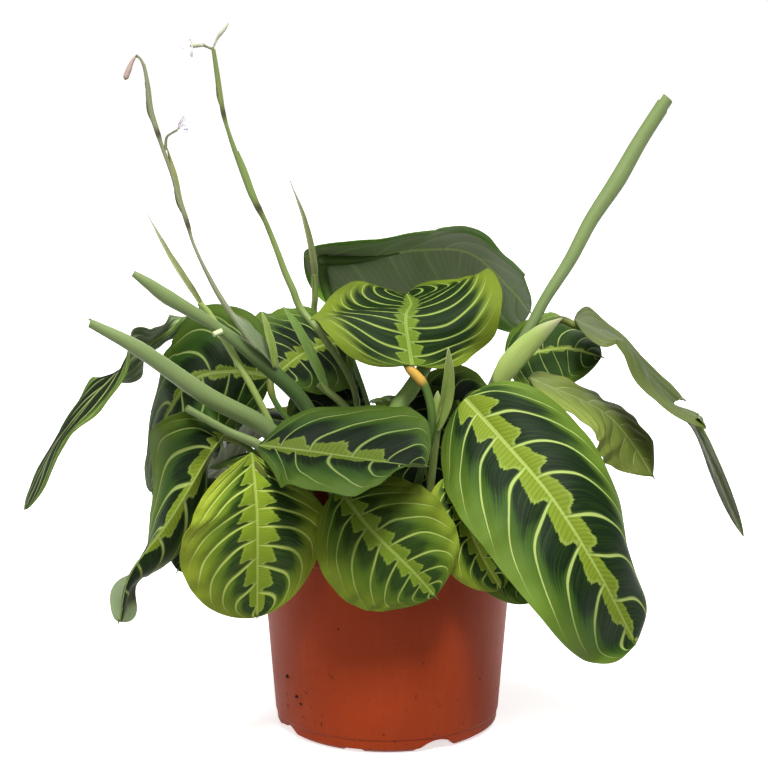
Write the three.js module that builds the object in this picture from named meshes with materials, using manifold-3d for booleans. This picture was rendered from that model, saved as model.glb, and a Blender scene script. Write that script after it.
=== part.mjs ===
// Potted prayer plant (maranta with lemon-lime marked leaves) in a plain nursery pot.
// Millimetres, +Z up, the front towards -Y. The origin is the centre of the pot's base.
import * as THREE from 'three';
import Module from 'manifold-3d';

// Pot: a tapered nursery pot with a collar and a scalloped foot.
const POT_HEIGHT = 100;
const POT_RIM_RADIUS = 61;
const POT_TOP_RADIUS = 59.2;
const POT_LOW_RADIUS = 52.8;
const POT_FOOT_RADIUS = 48.6;
const POT_WALL = 1.6;
const COLLAR_BOTTOM = 88;
const FOOT_BAND = 7;
const FLOOR_UNDER = 7.5;
const FLOOR_TOP = 9.5;
const PAD_RADIUS = 15;
const POT_SEGMENTS = 60;
const ARCH_COUNT = 8;
const ARCH_TURN = -18;
const BIG_ARCH = { height: 5.2, half: 12.5 };
const SMALL_ARCH = { height: 1.8, half: 6 };

// Soil and the plain holes in which the stems stand.
const SOIL_TOP = 89;
const SOIL_BUMP = 1.2;
const SOIL_SEGMENTS = 36;
const SEAT_GAP = 0.3;
const HOLE_FLOOR = 70;
const STEM_FOOT = 70.3;
const STEM_RISE = 92;
const HOLE_SIDES = 8;

// Leaves and stems. A line of more than LONG_LINE points gets no rings between its points.
const BLADE = 0.7;
const STEM_SIDES = 6;
const STEM_RADIUS = 1.45;
const JOINT_SWELL = 0.3;
const STALK_SIDES = 5;
const LONG_LINE = 6;

// A stalk runs on under its blade at these shares of the midrib, this thick, and with this share
// of its radius below the blade's middle sheet.
const RIB_PLACES = [0, 0.1, 0.24];
const RIB_RADII = [1.2, 0.6];
const RIB_SINK = 0.85;

// Open end of a rolled leaf: the lip, and the radius of the hollow as a share of the end's.
const LIP_DEPTH = 0.3;
const LIP_WALL = 0.9;
const HOLLOW_SHARE = 0.45;

const COLOURS = {
  pot: 0x8f3e22,
  soil: 0x2b1d15,
  old: 0x35592a,
  young: 0x6f9a2e,
  olive: 0x58722c,
  under: 0x66785c,
  stalk: 0x7f9e4f,
  pale: 0xa3b86a,
  dark: 0x47663a,
};

const wasm = await Module();
wasm.setup();

const vec = (p) => new THREE.Vector3(p[0], p[1], p[2]);
const mix = (a, b, t) => a + (b - a) * t;
const radians = (degrees) => (degrees * Math.PI) / 180;

// A closed mesh from points and triangles.
function solid(points, triangles) {
  const mesh = new wasm.Mesh({
    numProp: 3,
    vertProperties: new Float32Array(points.flatMap((p) => [p.x, p.y, p.z])),
    triVerts: new Uint32Array(triangles.flat()),
  });
  return new wasm.Manifold(mesh);
}

// Point on a smooth line that passes through the given points, t from 0 to 1.
function onLine(line, t) {
  const last = line.length - 1;
  const place = Math.min(Math.max(t, 0), 1) * last;
  const i = Math.min(Math.floor(place), last - 1);
  const f = place - i;
  const b = line[i];
  const c = line[i + 1];
  const a = i > 0 ? line[i - 1] : b.clone().multiplyScalar(2).sub(c);
  const d = i + 2 <= last ? line[i + 2] : c.clone().multiplyScalar(2).sub(b);
  const point = new THREE.Vector3();
  for (const k of ['x', 'y', 'z']) {
    const m0 = (c[k] - a[k]) / 2;
    const m1 = (d[k] - b[k]) / 2;
    const bend2 = 3 * (c[k] - b[k]) - 2 * m0 - m1;
    const bend3 = 2 * (b[k] - c[k]) + m0 + m1;
    point[k] = b[k] + f * (m0 + f * (bend2 + f * bend3));
  }
  return point;
}

function alongLine(line, t) {
  const step = 0.002;
  return onLine(line, t + step).sub(onLine(line, t - step)).normalize();
}

// Round bar through rings of centre and radius, closed at both ends. Rings may turn back inside.
function bar(rings, sides) {
  const points = [];
  const triangles = [];
  let side = null;
  let before = null;
  rings.forEach((ring, k) => {
    const next = rings[Math.min(k + 1, rings.length - 1)];
    const last = rings[Math.max(k - 1, 0)];
    const along = ring.along ?? next.at.clone().sub(last.at).normalize();
    if (side === null) {
      side = new THREE.Vector3(0, 1, 0).cross(along);
      if (side.length() < 0.1) side = new THREE.Vector3(1, 0, 0).cross(along);
    } else {
      side.applyQuaternion(new THREE.Quaternion().setFromUnitVectors(before, along));
    }
    side.addScaledVector(along, -side.dot(along)).normalize();
    before = along.clone();
    const up = along.clone().cross(side);
    for (let s = 0; s < sides; s += 1) {
      const angle = (2 * Math.PI * s) / sides;
      const point = ring.at.clone();
      point.addScaledVector(side, ring.radius * Math.cos(angle));
      point.addScaledVector(up, ring.radius * Math.sin(angle));
      points.push(point);
    }
  });
  for (let k = 0; k + 1 < rings.length; k += 1) {
    for (let s = 0; s < sides; s += 1) {
      const a = k * sides + s;
      const b = k * sides + ((s + 1) % sides);
      triangles.push([a, b, b + sides], [a, b + sides, a + sides]);
    }
  }
  const top = (rings.length - 1) * sides;
  for (let s = 1; s + 1 < sides; s += 1) {
    triangles.push([0, s + 1, s], [top, top + s, top + s + 1]);
  }
  return solid(points, triangles);
}

// Stem along a line of points with a radius at each point.
function stem(line, radii, sides = STEM_SIDES, whole = 0) {
  const last = line.length - 1;
  const rings = [];
  for (let i = 0; i < last; i += 1) {
    rings.push({ at: line[i].clone(), radius: radii[i] });
    if (i >= last - whole) continue;
    rings.push({ at: onLine(line, (i + 0.5) / last), radius: (radii[i] + radii[i + 1]) / 2 });
  }
  rings.push({ at: line[last].clone(), radius: radii[last] });
  return { rings, body: () => bar(rings, sides) };
}

// Stem that stands in the soil at root and rises through the line.
function rooted(root, line, radii, sides = STEM_SIDES, whole = 0) {
  const start = new THREE.Vector3(root[0], root[1], STEM_RISE);
  const part = stem([start, ...line], radii, sides, whole);
  const foot = { at: new THREE.Vector3(root[0], root[1], STEM_FOOT), radius: radii[0] };
  part.rings[0].along = new THREE.Vector3(0, 0, 1);
  foot.along = new THREE.Vector3(0, 0, 1);
  return bar([foot, ...part.rings], sides);
}

// Half width of a blade, 0 to 1, from base (u = 0) to tip (u = 1).
function outline(blade, u) {
  const foot = (1 - (1 - u) ** 3) ** blade.base;
  const head = (1 - u ** 3) ** blade.tip;
  return (foot * head) / 0.87;
}

// Place on the middle sheet of a blade: u from base to tip, v from -1 to 1 across.
function sheet(blade, u, v) {
  const along = alongLine(blade.rib, u);
  const face = blade.face[0].clone().lerp(blade.face[1], u);
  face.addScaledVector(along, -face.dot(along)).normalize();
  const side = along.clone().cross(face);
  const half = (blade.width / 2) * outline(blade, u);
  const out = Math.abs(v);
  const hand = v < 0 ? 0 : 1;
  const fold = mix(blade.fold[hand][0], blade.fold[hand][1], u);
  const curl = mix(blade.curl[hand][0], blade.curl[hand][1], u) || 0.001;
  const across = (half * (Math.sin(fold + curl * out) - Math.sin(fold))) / curl;
  let lift = (half * (Math.cos(fold) - Math.cos(fold + curl * out))) / curl;
  const turn = 2 * Math.PI * blade.waves * u + blade.phase + hand * 1.9;
  lift += blade.wave * out * out * Math.sin(turn) * Math.min(1, 5 * u * (1 - u));
  const point = onLine(blade.rib, u);
  point.addScaledVector(side, across * Math.sign(v));
  point.addScaledVector(face, lift);
  return point;
}

// Blade as a thin closed shell whose two faces are split alike.
function bladeBody(blade) {
  const rows = blade.rows;
  const cells = blade.cells;
  const points = [];
  const triangles = [];
  const half = BLADE / 2;
  const normalAt = (u, v) => {
    const e = 0.01;
    const low = Math.max(u - e, 0.004);
    const high = Math.min(u + e, 0.996);
    const du = sheet(blade, high, v).sub(sheet(blade, low, v));
    const dv = sheet(blade, Math.min(Math.max(u, 0.02), 0.98), Math.min(v + 0.04, 1));
    dv.sub(sheet(blade, Math.min(Math.max(u, 0.02), 0.98), Math.max(v - 0.04, -1)));
    return dv.cross(du).normalize();
  };
  const put = (u, v) => {
    const middle = sheet(blade, u, v);
    const normal = normalAt(u, v);
    points.push(middle.clone().addScaledVector(normal, half));
    points.push(middle.clone().addScaledVector(normal, -half));
    return points.length / 2 - 1;
  };
  const grid = [];
  for (let k = 0; k <= rows; k += 1) {
    const u = (1 - Math.cos((Math.PI * k) / rows)) / 2;
    if (k === 0 || k === rows) {
      grid.push([put(u, 0)]);
      continue;
    }
    const row = [];
    for (let c = 0; c <= cells; c += 1) row.push(put(u, (2 * c) / cells - 1));
    grid.push(row);
  }
  const both = (a, b, c) => {
    triangles.push([2 * a, 2 * b, 2 * c], [2 * a + 1, 2 * c + 1, 2 * b + 1]);
  };
  for (let c = 0; c < cells; c += 1) {
    both(grid[0][0], grid[1][c + 1], grid[1][c]);
    both(grid[rows][0], grid[rows - 1][c], grid[rows - 1][c + 1]);
  }
  for (let k = 1; k + 1 < rows; k += 1) {
    for (let c = 0; c < cells; c += 1) {
      const a = grid[k][c];
      const b = grid[k][c + 1];
      const d = grid[k + 1][c];
      const e = grid[k + 1][c + 1];
      if (c < cells / 2) {
        both(a, b, e);
        both(a, e, d);
      } else {
        both(a, b, d);
        both(b, e, d);
      }
    }
  }
  const edge = [grid[0][0]];
  for (let k = 1; k < rows; k += 1) edge.push(grid[k][0]);
  edge.push(grid[rows][0]);
  for (let k = rows - 1; k > 0; k -= 1) edge.push(grid[k][cells]);
  edge.forEach((a, k) => {
    const b = edge[(k + 1) % edge.length];
    triangles.push([2 * a, 2 * b, 2 * b + 1], [2 * a, 2 * b + 1, 2 * a + 1]);
  });
  return solid(points, triangles);
}

const BLADE_DEFAULTS = {
  fold: [[0.16, 0.1], [0.16, 0.1]],
  curl: [[-0.5, -0.4], [-0.5, -0.4]],
  wave: 1.6,
  waves: 2.2,
  phase: 0,
  base: 0.5,
  tip: 0.55,
  seat: 0.02,
  stalk: STEM_RADIUS,
  rows: 11,
  cells: 4,
};

const BRACT_SHAPE = { wave: 0, tip: 0.9, base: 0.35, rows: 6, cells: 2 };

function makeBlade(spec) {
  const blade = { ...BLADE_DEFAULTS, ...spec };
  blade.rib = spec.rib.map(vec);
  blade.face = spec.face.map(vec);
  return blade;
}

// Leaf: a stalk out of the soil that runs on close under the blade as the start of its midrib.
function leafBody(leaf) {
  const blade = makeBlade(leaf);
  const body = bladeBody(blade);
  const line = leaf.stem.map(vec);
  const radii = line.map(() => blade.stalk);
  const places = RIB_PLACES.map((u) => u + blade.seat);
  const sizes = [blade.stalk + JOINT_SWELL, ...RIB_RADII];
  places.forEach((u, i) => {
    const along = alongLine(blade.rib, u);
    const face = blade.face[0].clone().lerp(blade.face[1], u);
    face.addScaledVector(along, -face.dot(along)).normalize();
    line.push(onLine(blade.rib, u).addScaledVector(face, -RIB_SINK * sizes[i]));
    radii.push(sizes[i]);
  });
  return body.add(rooted(leaf.root, line, [blade.stalk, ...radii], STEM_SIDES, places.length));
}

const LEAVES = [
  {
    name: 'leaf_front_right', colour: 'old', root: [20, -22],
    stem: [[27, -28, 119], [33.7, -31, 144.6]],
    rib: [
      [35.4, -29.6, 161.8], [52.1, -48.9, 146.4], [73.2, -69.5, 124.7],
      [93, -78.2, 94.1], [110.9, -67.9, 57.9],
    ],
    face: [[0, -1.16, 0.18], [-0.33, -0.21, 0.67]],
    width: 74.5, base: 0.38, tip: 0.3, wave: 2, waves: 2.6,
    seat: 0.05, cells: 6,
    fold: [[0.36, -0.54], [0.37, 0.6]],
    curl: [[-0.99, -1.34], [-1.07, 0.14]],
  },
  {
    name: 'leaf_front_left', colour: 'young', root: [-30, -36],
    stem: [[-43, -57, 117], [-54.5, -76.5, 138]],
    rib: [[-58.7, -81.1, 148.9], [-56.5, -84.1, 126.4], [-56.5, -81.7, 103.1], [-57.8, -69.8, 70.9]],
    face: [[0.11, -0.02, 0.93], [0.39, -0.93, -0.01]],
    width: 82.1, base: 0.72, tip: 0.63, waves: 2, phase: 1,
    seat: 0.05,
    fold: [[-0.26, 0.19], [0.23, 0.2]],
    curl: [[-0.68, -0.19], [-0.21, -0.24]],
  },
  {
    name: 'leaf_front_middle', colour: 'young', root: [-4, -36],
    stem: [[-13, -44, 112], [-24, -53, 124]],
    rib: [[-21.8, -62.4, 128.3], [-7.8, -78.2, 114.2], [10.3, -80.8, 96.4], [21.1, -79.7, 83.6]],
    face: [[-0.44, -0.41, 0.81], [-0.09, -0.94, 0.23]],
    width: 61.2, base: 0.47, tip: 0.57, waves: 2, phase: 2.4,
    fold: [[0.28, 0.02], [0.06, 0.01]],
    curl: [[-0.39, -0.52], [-0.59, -0.47]],
  },
  {
    name: 'leaf_front_level', colour: 'old', root: [-18, -30],
    stem: [[-32, -44, 117], [-49, -56.3, 135.6]],
    rib: [[-57.3, -56.4, 146.3], [-33.2, -60.2, 144.8], [1.5, -77.4, 144], [16.6, -84.5, 143.8]],
    face: [[0.08, -0.59, 0.89], [0.87, -0.21, 0.18]],
    width: 85.2, base: 0.72, tip: 0.88, waves: 2, phase: 0.6,
    fold: [[-0.12, 0.54], [0.59, -0.11]],
    curl: [[-0.53, 0.27], [-0.2, -0.49]],
  },
  {
    name: 'leaf_left_low', colour: 'old', root: [-38, -14],
    stem: [[-49, -20, 119], [-65, -31.9, 140.8]],
    rib: [
      [-73.6, -36.3, 145.9], [-79.3, -40.8, 138.2], [-99, -49.3, 108.7],
      [-114.7, -59.8, 88.9], [-120.1, -64.6, 67.1],
    ],
    face: [[0.67, 0.28, 0.48], [-0.01, -0.47, 0.98]],
    width: 57.2, base: 0.33, tip: 0.32, waves: 2.4, phase: 4,
    seat: 0.04,
    fold: [[-0.68, -1.25], [-0.59, -1.25]],
    curl: [[-0.14, -2.07], [1.13, -1.12]],
  },
  {
    name: 'leaf_far_left', colour: 'old', root: [-42, 8],
    stem: [[-48, 19, 125], [-75, 40, 164], [-88.2, 58.5, 179.6]],
    rib: [
      [-95.9, 52.3, 184], [-114.6, 38.7, 173.3], [-131.7, 23.1, 159.8],
      [-155.4, 16.3, 132.8], [-170.3, 3.1, 101.6],
    ],
    face: [[-0.86, -0.58, -0.49], [0.03, 0.04, 0.46]],
    width: 44.4, base: 0.55, tip: 0.41, wave: 0.5, waves: 2, phase: 0.8,
    fold: [[0.21, 0.2], [-0.15, -0.43]],
    curl: [[0.15, 0.19], [-0.05, -0.1]],
  },
  {
    name: 'leaf_left_back', colour: 'old', root: [-20, 6],
    stem: [[-36, 2, 130], [-52.1, 2, 153.4]],
    rib: [
      [-54.4, 4.3, 165.2], [-72.5, 6.2, 167], [-91.9, 2.2, 163.1],
      [-105.5, 4.9, 140.7], [-109.4, -7.5, 112.5],
    ],
    face: [[-0.38, -0.74, -0.04], [-0.89, -0.16, 0.42]],
    width: 75.3, base: 0.49, tip: 0.58, waves: 2.4, phase: 3,
    cells: 6,
    fold: [[0.16, 0.08], [-0.13, -0.03]],
    curl: [[-0.49, -0.41], [-0.66, 0.04]],
  },
  {
    name: 'leaf_left_upper', colour: 'old', root: [-14, 26],
    stem: [[-13, 28, 132], [-16, 36, 158]],
    rib: [[-20.6, 44.1, 173.6], [-32.4, 36.9, 173.1], [-42.2, 27.1, 170.1], [-51.9, 19.8, 163]],
    face: [[-0.07, -0.55, 0.83], [-0.23, -0.68, 0.69]],
    width: 64.6, base: 0.48, tip: 0.44, waves: 2, phase: 5,
    fold: [[0.23, 0.04], [0.25, 0.23]],
    curl: [[-0.4, -0.44], [-0.32, -0.16]],
  },
  {
    name: 'leaf_top_middle', colour: 'young', root: [8, -16],
    stem: [[14, -30, 122], [20, -39.5, 150], [17.5, -38.5, 168]],
    rib: [[11.3, -38.6, 179.2], [8.8, -16.3, 196.5], [11.4, 20.9, 196.9], [9.3, 39.9, 197.9]],
    face: [[0.44, -0.07, 0.66], [-0.12, 0.93, 0.38]],
    width: 86.8, base: 0.39, tip: 0.71, waves: 1.6, phase: 1.2,
    stalk: 1.9, cells: 6,
    fold: [[-0.56, 0.04], [0.3, 0.52]],
    curl: [[-0.56, 0.49], [0.01, 0.35]],
  },
  {
    name: 'leaf_top_back', colour: 'under', root: [-4, 18],
    stem: [[-8, 45, 132], [-19, 64, 164], [-29, 73, 192], [-32, 75, 208]],
    rib: [
      [-40.7, 73.9, 211.4], [-9, 75.3, 210.8], [14.9, 81.3, 213.5],
      [41.3, 86.3, 211.1], [62.3, 85.8, 192.5], [70.6, 79.3, 181.8],
    ],
    face: [[0.76, 0.43, 0.36], [0.67, 0.59, 0.38]],
    width: 78.8, base: 0.37, tip: 0.36, waves: 1.6, phase: 0.4,
    seat: 0.08, stalk: 2.5, cells: 6,
    fold: [[-0.38, 0.11], [-0.43, -0.21]],
    curl: [[-1.19, -0.05], [-0.06, -0.09]],
  },
  {
    name: 'leaf_right_back', colour: 'old', root: [26, 12],
    stem: [[39, 33, 128], [50, 39, 154]],
    rib: [[56.5, 40.1, 167.5], [70.8, 39.3, 170.1], [87.3, 38.1, 172.1], [102.3, 34.5, 168.2]],
    face: [[-0.02, -0.51, 0.85], [0.2, -0.55, 0.81]],
    width: 66.2, tip: 0.75, waves: 2, phase: 2,
    fold: [[0.16, -0.05], [0.14, -0.13]],
    curl: [[-0.49, -0.59], [-0.53, -0.65]],
  },
  {
    name: 'leaf_right', colour: 'olive', root: [36, -4],
    stem: [[46, -7, 124], [57, -7.2, 153.1]],
    rib: [[66.1, -3.8, 165.9], [97, -2.1, 152.4], [111.9, -3.8, 138.6], [123.5, -8.9, 120.3]],
    face: [[-0.26, -0.12, 0.95], [-0.27, -0.07, 0.95]],
    width: 55.1, base: 0.48, tip: 0.86, wave: 0.5, waves: 2,
    fold: [[0.03, -0.29], [0.1, 0.08]],
    curl: [[0.21, -0.43], [-0.42, -0.39]],
  },
  {
    name: 'leaf_far_right', colour: 'olive', root: [40, 4],
    stem: [[46, 8, 130], [57, 14, 165], [70, 18, 184], [81.1, 20.1, 188.8]],
    rib: [
      [88.2, 19.3, 189.1], [111.7, 18.1, 177.3], [131.4, 1.8, 154.4],
      [143.9, 0.4, 143.3], [165.1, -17.5, 94.2],
    ],
    face: [[0.81, 0.11, -0.09], [-0.32, 0.45, 0.98]],
    width: 74.8, base: 0.31, tip: 0.85, wave: 0.5, waves: 2, phase: 1,
    fold: [[0.51, 0.3], [-0.32, -0.29]],
    curl: [[0.05, 0.25], [-0.27, -0.43]],
  },
  {
    name: 'leaf_inner_right', colour: 'old', root: [16, 4],
    stem: [[17, 10, 124], [18, 13, 136]],
    rib: [[20, 15, 143], [29, 19, 149], [39, 21, 146], [47, 22, 134]],
    face: [[0.1, -0.6, 0.8], [0.3, -0.7, 0.6]],
    width: 48, tip: 0.7, waves: 1.8, phase: 2,
    rows: 10,
  },
  {
    name: 'leaf_front_small', colour: 'young', root: [12, -34],
    stem: [[20.1, -40, 111.5]],
    rib: [[27.1, -46, 129.5], [34, -57, 114.7], [42, -64, 98], [51, -64, 82]],
    face: [[0, -0.8, 0.6], [0.1, -0.95, 0.2]],
    width: 36, tip: 0.6, waves: 1.5, phase: 1,
    rows: 10,
  },
  {
    name: 'leaf_under_right', colour: 'old', root: [30, -20],
    stem: [[38, -30, 112]],
    rib: [[42, -38, 116], [50, -48, 104], [58, -54, 89], [66, -56, 74]],
    face: [[0.1, -0.6, 0.8], [0.4, -0.9, 0.1]],
    width: 40, tip: 0.6, waves: 1.5, phase: 4,
    rows: 10,
  },
  {
    name: 'leaf_left_small', colour: 'old', root: [-42, -6],
    stem: [[-52, -8, 108]],
    rib: [[-62, -11, 113], [-75, -15, 107], [-88, -18, 95], [-97, -19, 78]],
    face: [[-0.2, -0.6, 0.8], [-0.5, -0.8, 0.3]],
    width: 46, tip: 0.6, waves: 1.5, phase: 2,
    rows: 10,
  },
  {
    name: 'leaf_inner_middle', colour: 'old', root: [4, -2],
    stem: [[4.5, 0, 120], [4, -1, 146]],
    rib: [[5, -4, 157], [12, -6, 148], [17, -7, 128], [21, -8, 104]],
    face: [[0.1, -0.8, 0.6], [0.1, -1, 0.1]],
    width: 46, tip: 0.6, waves: 1.6, phase: 3.4,
    rows: 10,
  },
  {
    name: 'leaf_inner_left', colour: 'old', root: [-26, 15],
    stem: [[-23, 22, 120], [-15, 24, 140]],
    rib: [[-11, 16, 151], [-21, 16, 149], [-32, 16, 141], [-41, 15, 128]],
    face: [[-0.1, -0.8, 0.5], [-0.2, -0.95, 0.2]],
    width: 42, tip: 0.6, waves: 1.6, phase: 0.7,
    rows: 10,
  },
];

// Leaf round the back of the pot: the rib runs out from the middle at one bearing.
function backLeaf(name, bearing, start, reach, rise, width, colour, phase) {
  const dir = [Math.cos(radians(bearing)), Math.sin(radians(bearing))];
  const at = (radius, z, turn = 0) => [
    radius * Math.cos(radians(bearing + turn)),
    radius * Math.sin(radians(bearing + turn)),
    z,
  ];
  const step = (reach - start) / 3;
  return {
    name,
    colour,
    root: [dir[0] * (start - 14), dir[1] * (start - 14)],
    stem: [at(start - 6, rise[0] - 8)],
    rib: [
      at(start, rise[0]),
      at(start + step, rise[1], 2),
      at(start + 2 * step, rise[2], 5),
      at(reach, rise[3], 9),
    ],
    face: [[dir[0] * 0.2, dir[1] * 0.2, 1], [dir[0] * 0.8, dir[1] * 0.8, 0.5]],
    width,
    waves: 2.2,
    phase,
    tip: 0.6,
  };
}

LEAVES.push(
  backLeaf('leaf_back_1', 151, 50, 114, [116, 122, 108, 74], 54, 'old', 0.4),
  backLeaf('leaf_back_2', 131, 50, 128, [128, 138, 127, 92], 60, 'old', 1.7),
  backLeaf('leaf_back_3', 96, 46, 118, [116, 120, 106, 72], 54, 'young', 2.9),
  backLeaf('leaf_back_4', 73, 48, 126, [131, 139, 127, 92], 58, 'old', 4.4),
  backLeaf('leaf_back_5', 47, 49, 118, [114, 119, 104, 70], 54, 'old', 2.2),
  backLeaf('leaf_back_6', 22, 50, 116, [128, 135, 121, 86], 54, 'young', 0.9),
);

// Outer radius of the pot's wall between the foot and the collar.
function potRadius(z) {
  const place = (z - FOOT_BAND) / (COLLAR_BOTTOM - FOOT_BAND);
  return mix(POT_LOW_RADIUS, POT_TOP_RADIUS, place);
}

// Height of the foot's lower edge at a bearing: big and small arches in turn.
function archHeight(bearing) {
  const pitch = 360 / ARCH_COUNT;
  const place = (bearing + 90 - ARCH_TURN) / pitch;
  const nearest = Math.round(place);
  const arch = Math.abs(nearest) % 2 === 1 ? BIG_ARCH : SMALL_ARCH;
  const off = Math.abs(place - nearest) * pitch;
  if (off >= arch.half) return 0;
  return arch.height * Math.cos(((off / arch.half) * Math.PI) / 2) ** 0.8;
}

// Solid of revolution from a profile of [radius, z, lifted] points, from axis to axis. The lifted
// points follow the arches of the foot.
function turned(profile, segments) {
  const points = [];
  const triangles = [];
  const inner = profile.slice(1, -1);
  for (const [radius, z, lifted] of inner) {
    for (let s = 0; s < segments; s += 1) {
      const angle = (360 * s) / segments;
      const top = lifted ? Math.max(z, archHeight(angle)) : z;
      const x = radius * Math.cos(radians(angle));
      const y = radius * Math.sin(radians(angle));
      points.push(new THREE.Vector3(x, y, top));
    }
  }
  const first = points.push(new THREE.Vector3(0, 0, profile[0][1])) - 1;
  const last = points.push(new THREE.Vector3(0, 0, profile.at(-1)[1])) - 1;
  const top = (inner.length - 1) * segments;
  for (let s = 0; s < segments; s += 1) {
    const n = (s + 1) % segments;
    triangles.push([first, n, s], [last, top + s, top + n]);
    for (let k = 0; k + 1 < inner.length; k += 1) {
      const a = k * segments + s;
      const b = k * segments + n;
      triangles.push([a, b, b + segments], [a, b + segments, a + segments]);
    }
  }
  return solid(points, triangles);
}

function potBody() {
  const inside = (z) => potRadius(z) - POT_WALL;
  return turned([
    [0, 0],
    [PAD_RADIUS, 0],
    [PAD_RADIUS + 1.5, FLOOR_UNDER],
    [POT_FOOT_RADIUS - 3.5, FLOOR_UNDER],
    [POT_FOOT_RADIUS - 2.4, 0, true],
    [POT_FOOT_RADIUS, 0, true],
    [POT_FOOT_RADIUS + 3.4, 2.2, true],
    [POT_LOW_RADIUS - 0.5, FOOT_BAND - 0.6],
    [POT_LOW_RADIUS, FOOT_BAND],
    [POT_TOP_RADIUS, COLLAR_BOTTOM],
    [POT_RIM_RADIUS - 0.5, COLLAR_BOTTOM + 0.3],
    [POT_RIM_RADIUS, COLLAR_BOTTOM + 1.2],
    [POT_RIM_RADIUS, POT_HEIGHT - 0.8],
    [POT_RIM_RADIUS - 0.7, POT_HEIGHT],
    [POT_RIM_RADIUS - 1.7, POT_HEIGHT],
    [POT_RIM_RADIUS - 2.2, POT_HEIGHT - 0.8],
    [POT_TOP_RADIUS - POT_WALL, COLLAR_BOTTOM],
    [inside(FLOOR_TOP), FLOOR_TOP],
    [0, FLOOR_TOP],
  ], POT_SEGMENTS);
}

// Height of the soil's uneven top.
function soilHeight(x, y) {
  const wave = Math.sin(x * 0.21 + 1) * Math.cos(y * 0.17 + 0.6);
  return SOIL_TOP + SOIL_BUMP * (wave + 0.6 * Math.sin((x + y) * 0.33));
}

function soilBody(holes) {
  const outer = (z) => potRadius(z) - POT_WALL - SEAT_GAP;
  const low = FLOOR_TOP + SEAT_GAP;
  const rings = [12, 26, 40, 51];
  const points = [];
  const triangles = [];
  const put = (radius, z) => {
    for (let s = 0; s < SOIL_SEGMENTS; s += 1) {
      const angle = (2 * Math.PI * s) / SOIL_SEGMENTS;
      const x = radius * Math.cos(angle);
      const y = radius * Math.sin(angle);
      points.push(new THREE.Vector3(x, y, z ?? soilHeight(x, y)));
    }
  };
  put(outer(low), low);
  put(outer(SOIL_TOP - 3), SOIL_TOP - 3);
  rings.reverse().forEach((radius) => put(radius));
  const first = points.push(new THREE.Vector3(0, 0, low)) - 1;
  const last = points.push(new THREE.Vector3(0, 0, SOIL_TOP + 1)) - 1;
  const count = rings.length + 2;
  for (let s = 0; s < SOIL_SEGMENTS; s += 1) {
    const n = (s + 1) % SOIL_SEGMENTS;
    const top = (count - 1) * SOIL_SEGMENTS;
    triangles.push([first, n, s], [last, top + s, top + n]);
    for (let k = 0; k + 1 < count; k += 1) {
      const a = k * SOIL_SEGMENTS + s;
      const b = k * SOIL_SEGMENTS + n;
      triangles.push([a, b, b + SOIL_SEGMENTS], [a, b + SOIL_SEGMENTS, a + SOIL_SEGMENTS]);
    }
  }
  let body = solid(points, triangles);
  for (const [x, y, radius] of holes) {
    const rim = (radius + SEAT_GAP) / Math.cos(Math.PI / HOLE_SIDES);
    const ends = [HOLE_FLOOR, SOIL_TOP + 8].map((z) => ({
      at: new THREE.Vector3(x, y, z),
      radius: rim,
      along: new THREE.Vector3(0, 0, 1),
    }));
    body = body.subtract(bar(ends, HOLE_SIDES));
  }
  return body;
}

// Narrow folded bract or pointed sheath.
function bractBody(part) {
  const fold = [part.fold, part.fold * (part.ease ?? 0.8)];
  const curl = part.curl ?? [0.5, 0.3];
  return bladeBody(makeBlade({
    ...BRACT_SHAPE, rib: part.rib, width: part.width, face: [part.face, part.face],
    fold: [fold, fold], curl: [curl, curl], tip: part.tip ?? BRACT_SHAPE.tip,
  }));
}

function petalBody(part) {
  const { rib, width, face } = part;
  return bladeBody(makeBlade({ rib, width, face: [face, face], rows: 4, cells: 2, wave: 0 }));
}

// Leaf still rolled into a tube: the end is open and hollow.
function rolled(root, part) {
  const start = new THREE.Vector3(root[0], root[1], STEM_RISE);
  const line = [start, ...part.line.map(vec)];
  const { rings } = stem(line, part.radii, part.sides, line.length > LONG_LINE ? line.length : 0);
  const up = new THREE.Vector3(0, 0, 1);
  rings[0].along = up;
  const foot = { at: start.clone().setZ(STEM_FOOT), radius: part.radii[0], along: up };
  const end = rings.at(-1);
  const away = end.at.clone().sub(rings.at(-2).at).normalize();
  end.along = away;
  const back = (distance, radius) => (
    { at: end.at.clone().addScaledVector(away, -distance), radius, along: away }
  );
  const lip = back(LIP_DEPTH, end.radius - LIP_WALL);
  const inside = back(part.mouth, end.radius * HOLLOW_SHARE);
  return bar([foot, ...rings, lip, inside], part.sides);
}

function stalkBody(root, part) {
  const line = part.line.map(vec);
  const sides = part.sides ?? STALK_SIDES;
  const whole = line.length > LONG_LINE ? line.length : 0;
  if (part.rooted) return rooted(root, line, part.radii, sides, whole);
  return stem(line, part.radii, sides, whole).body();
}

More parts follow.
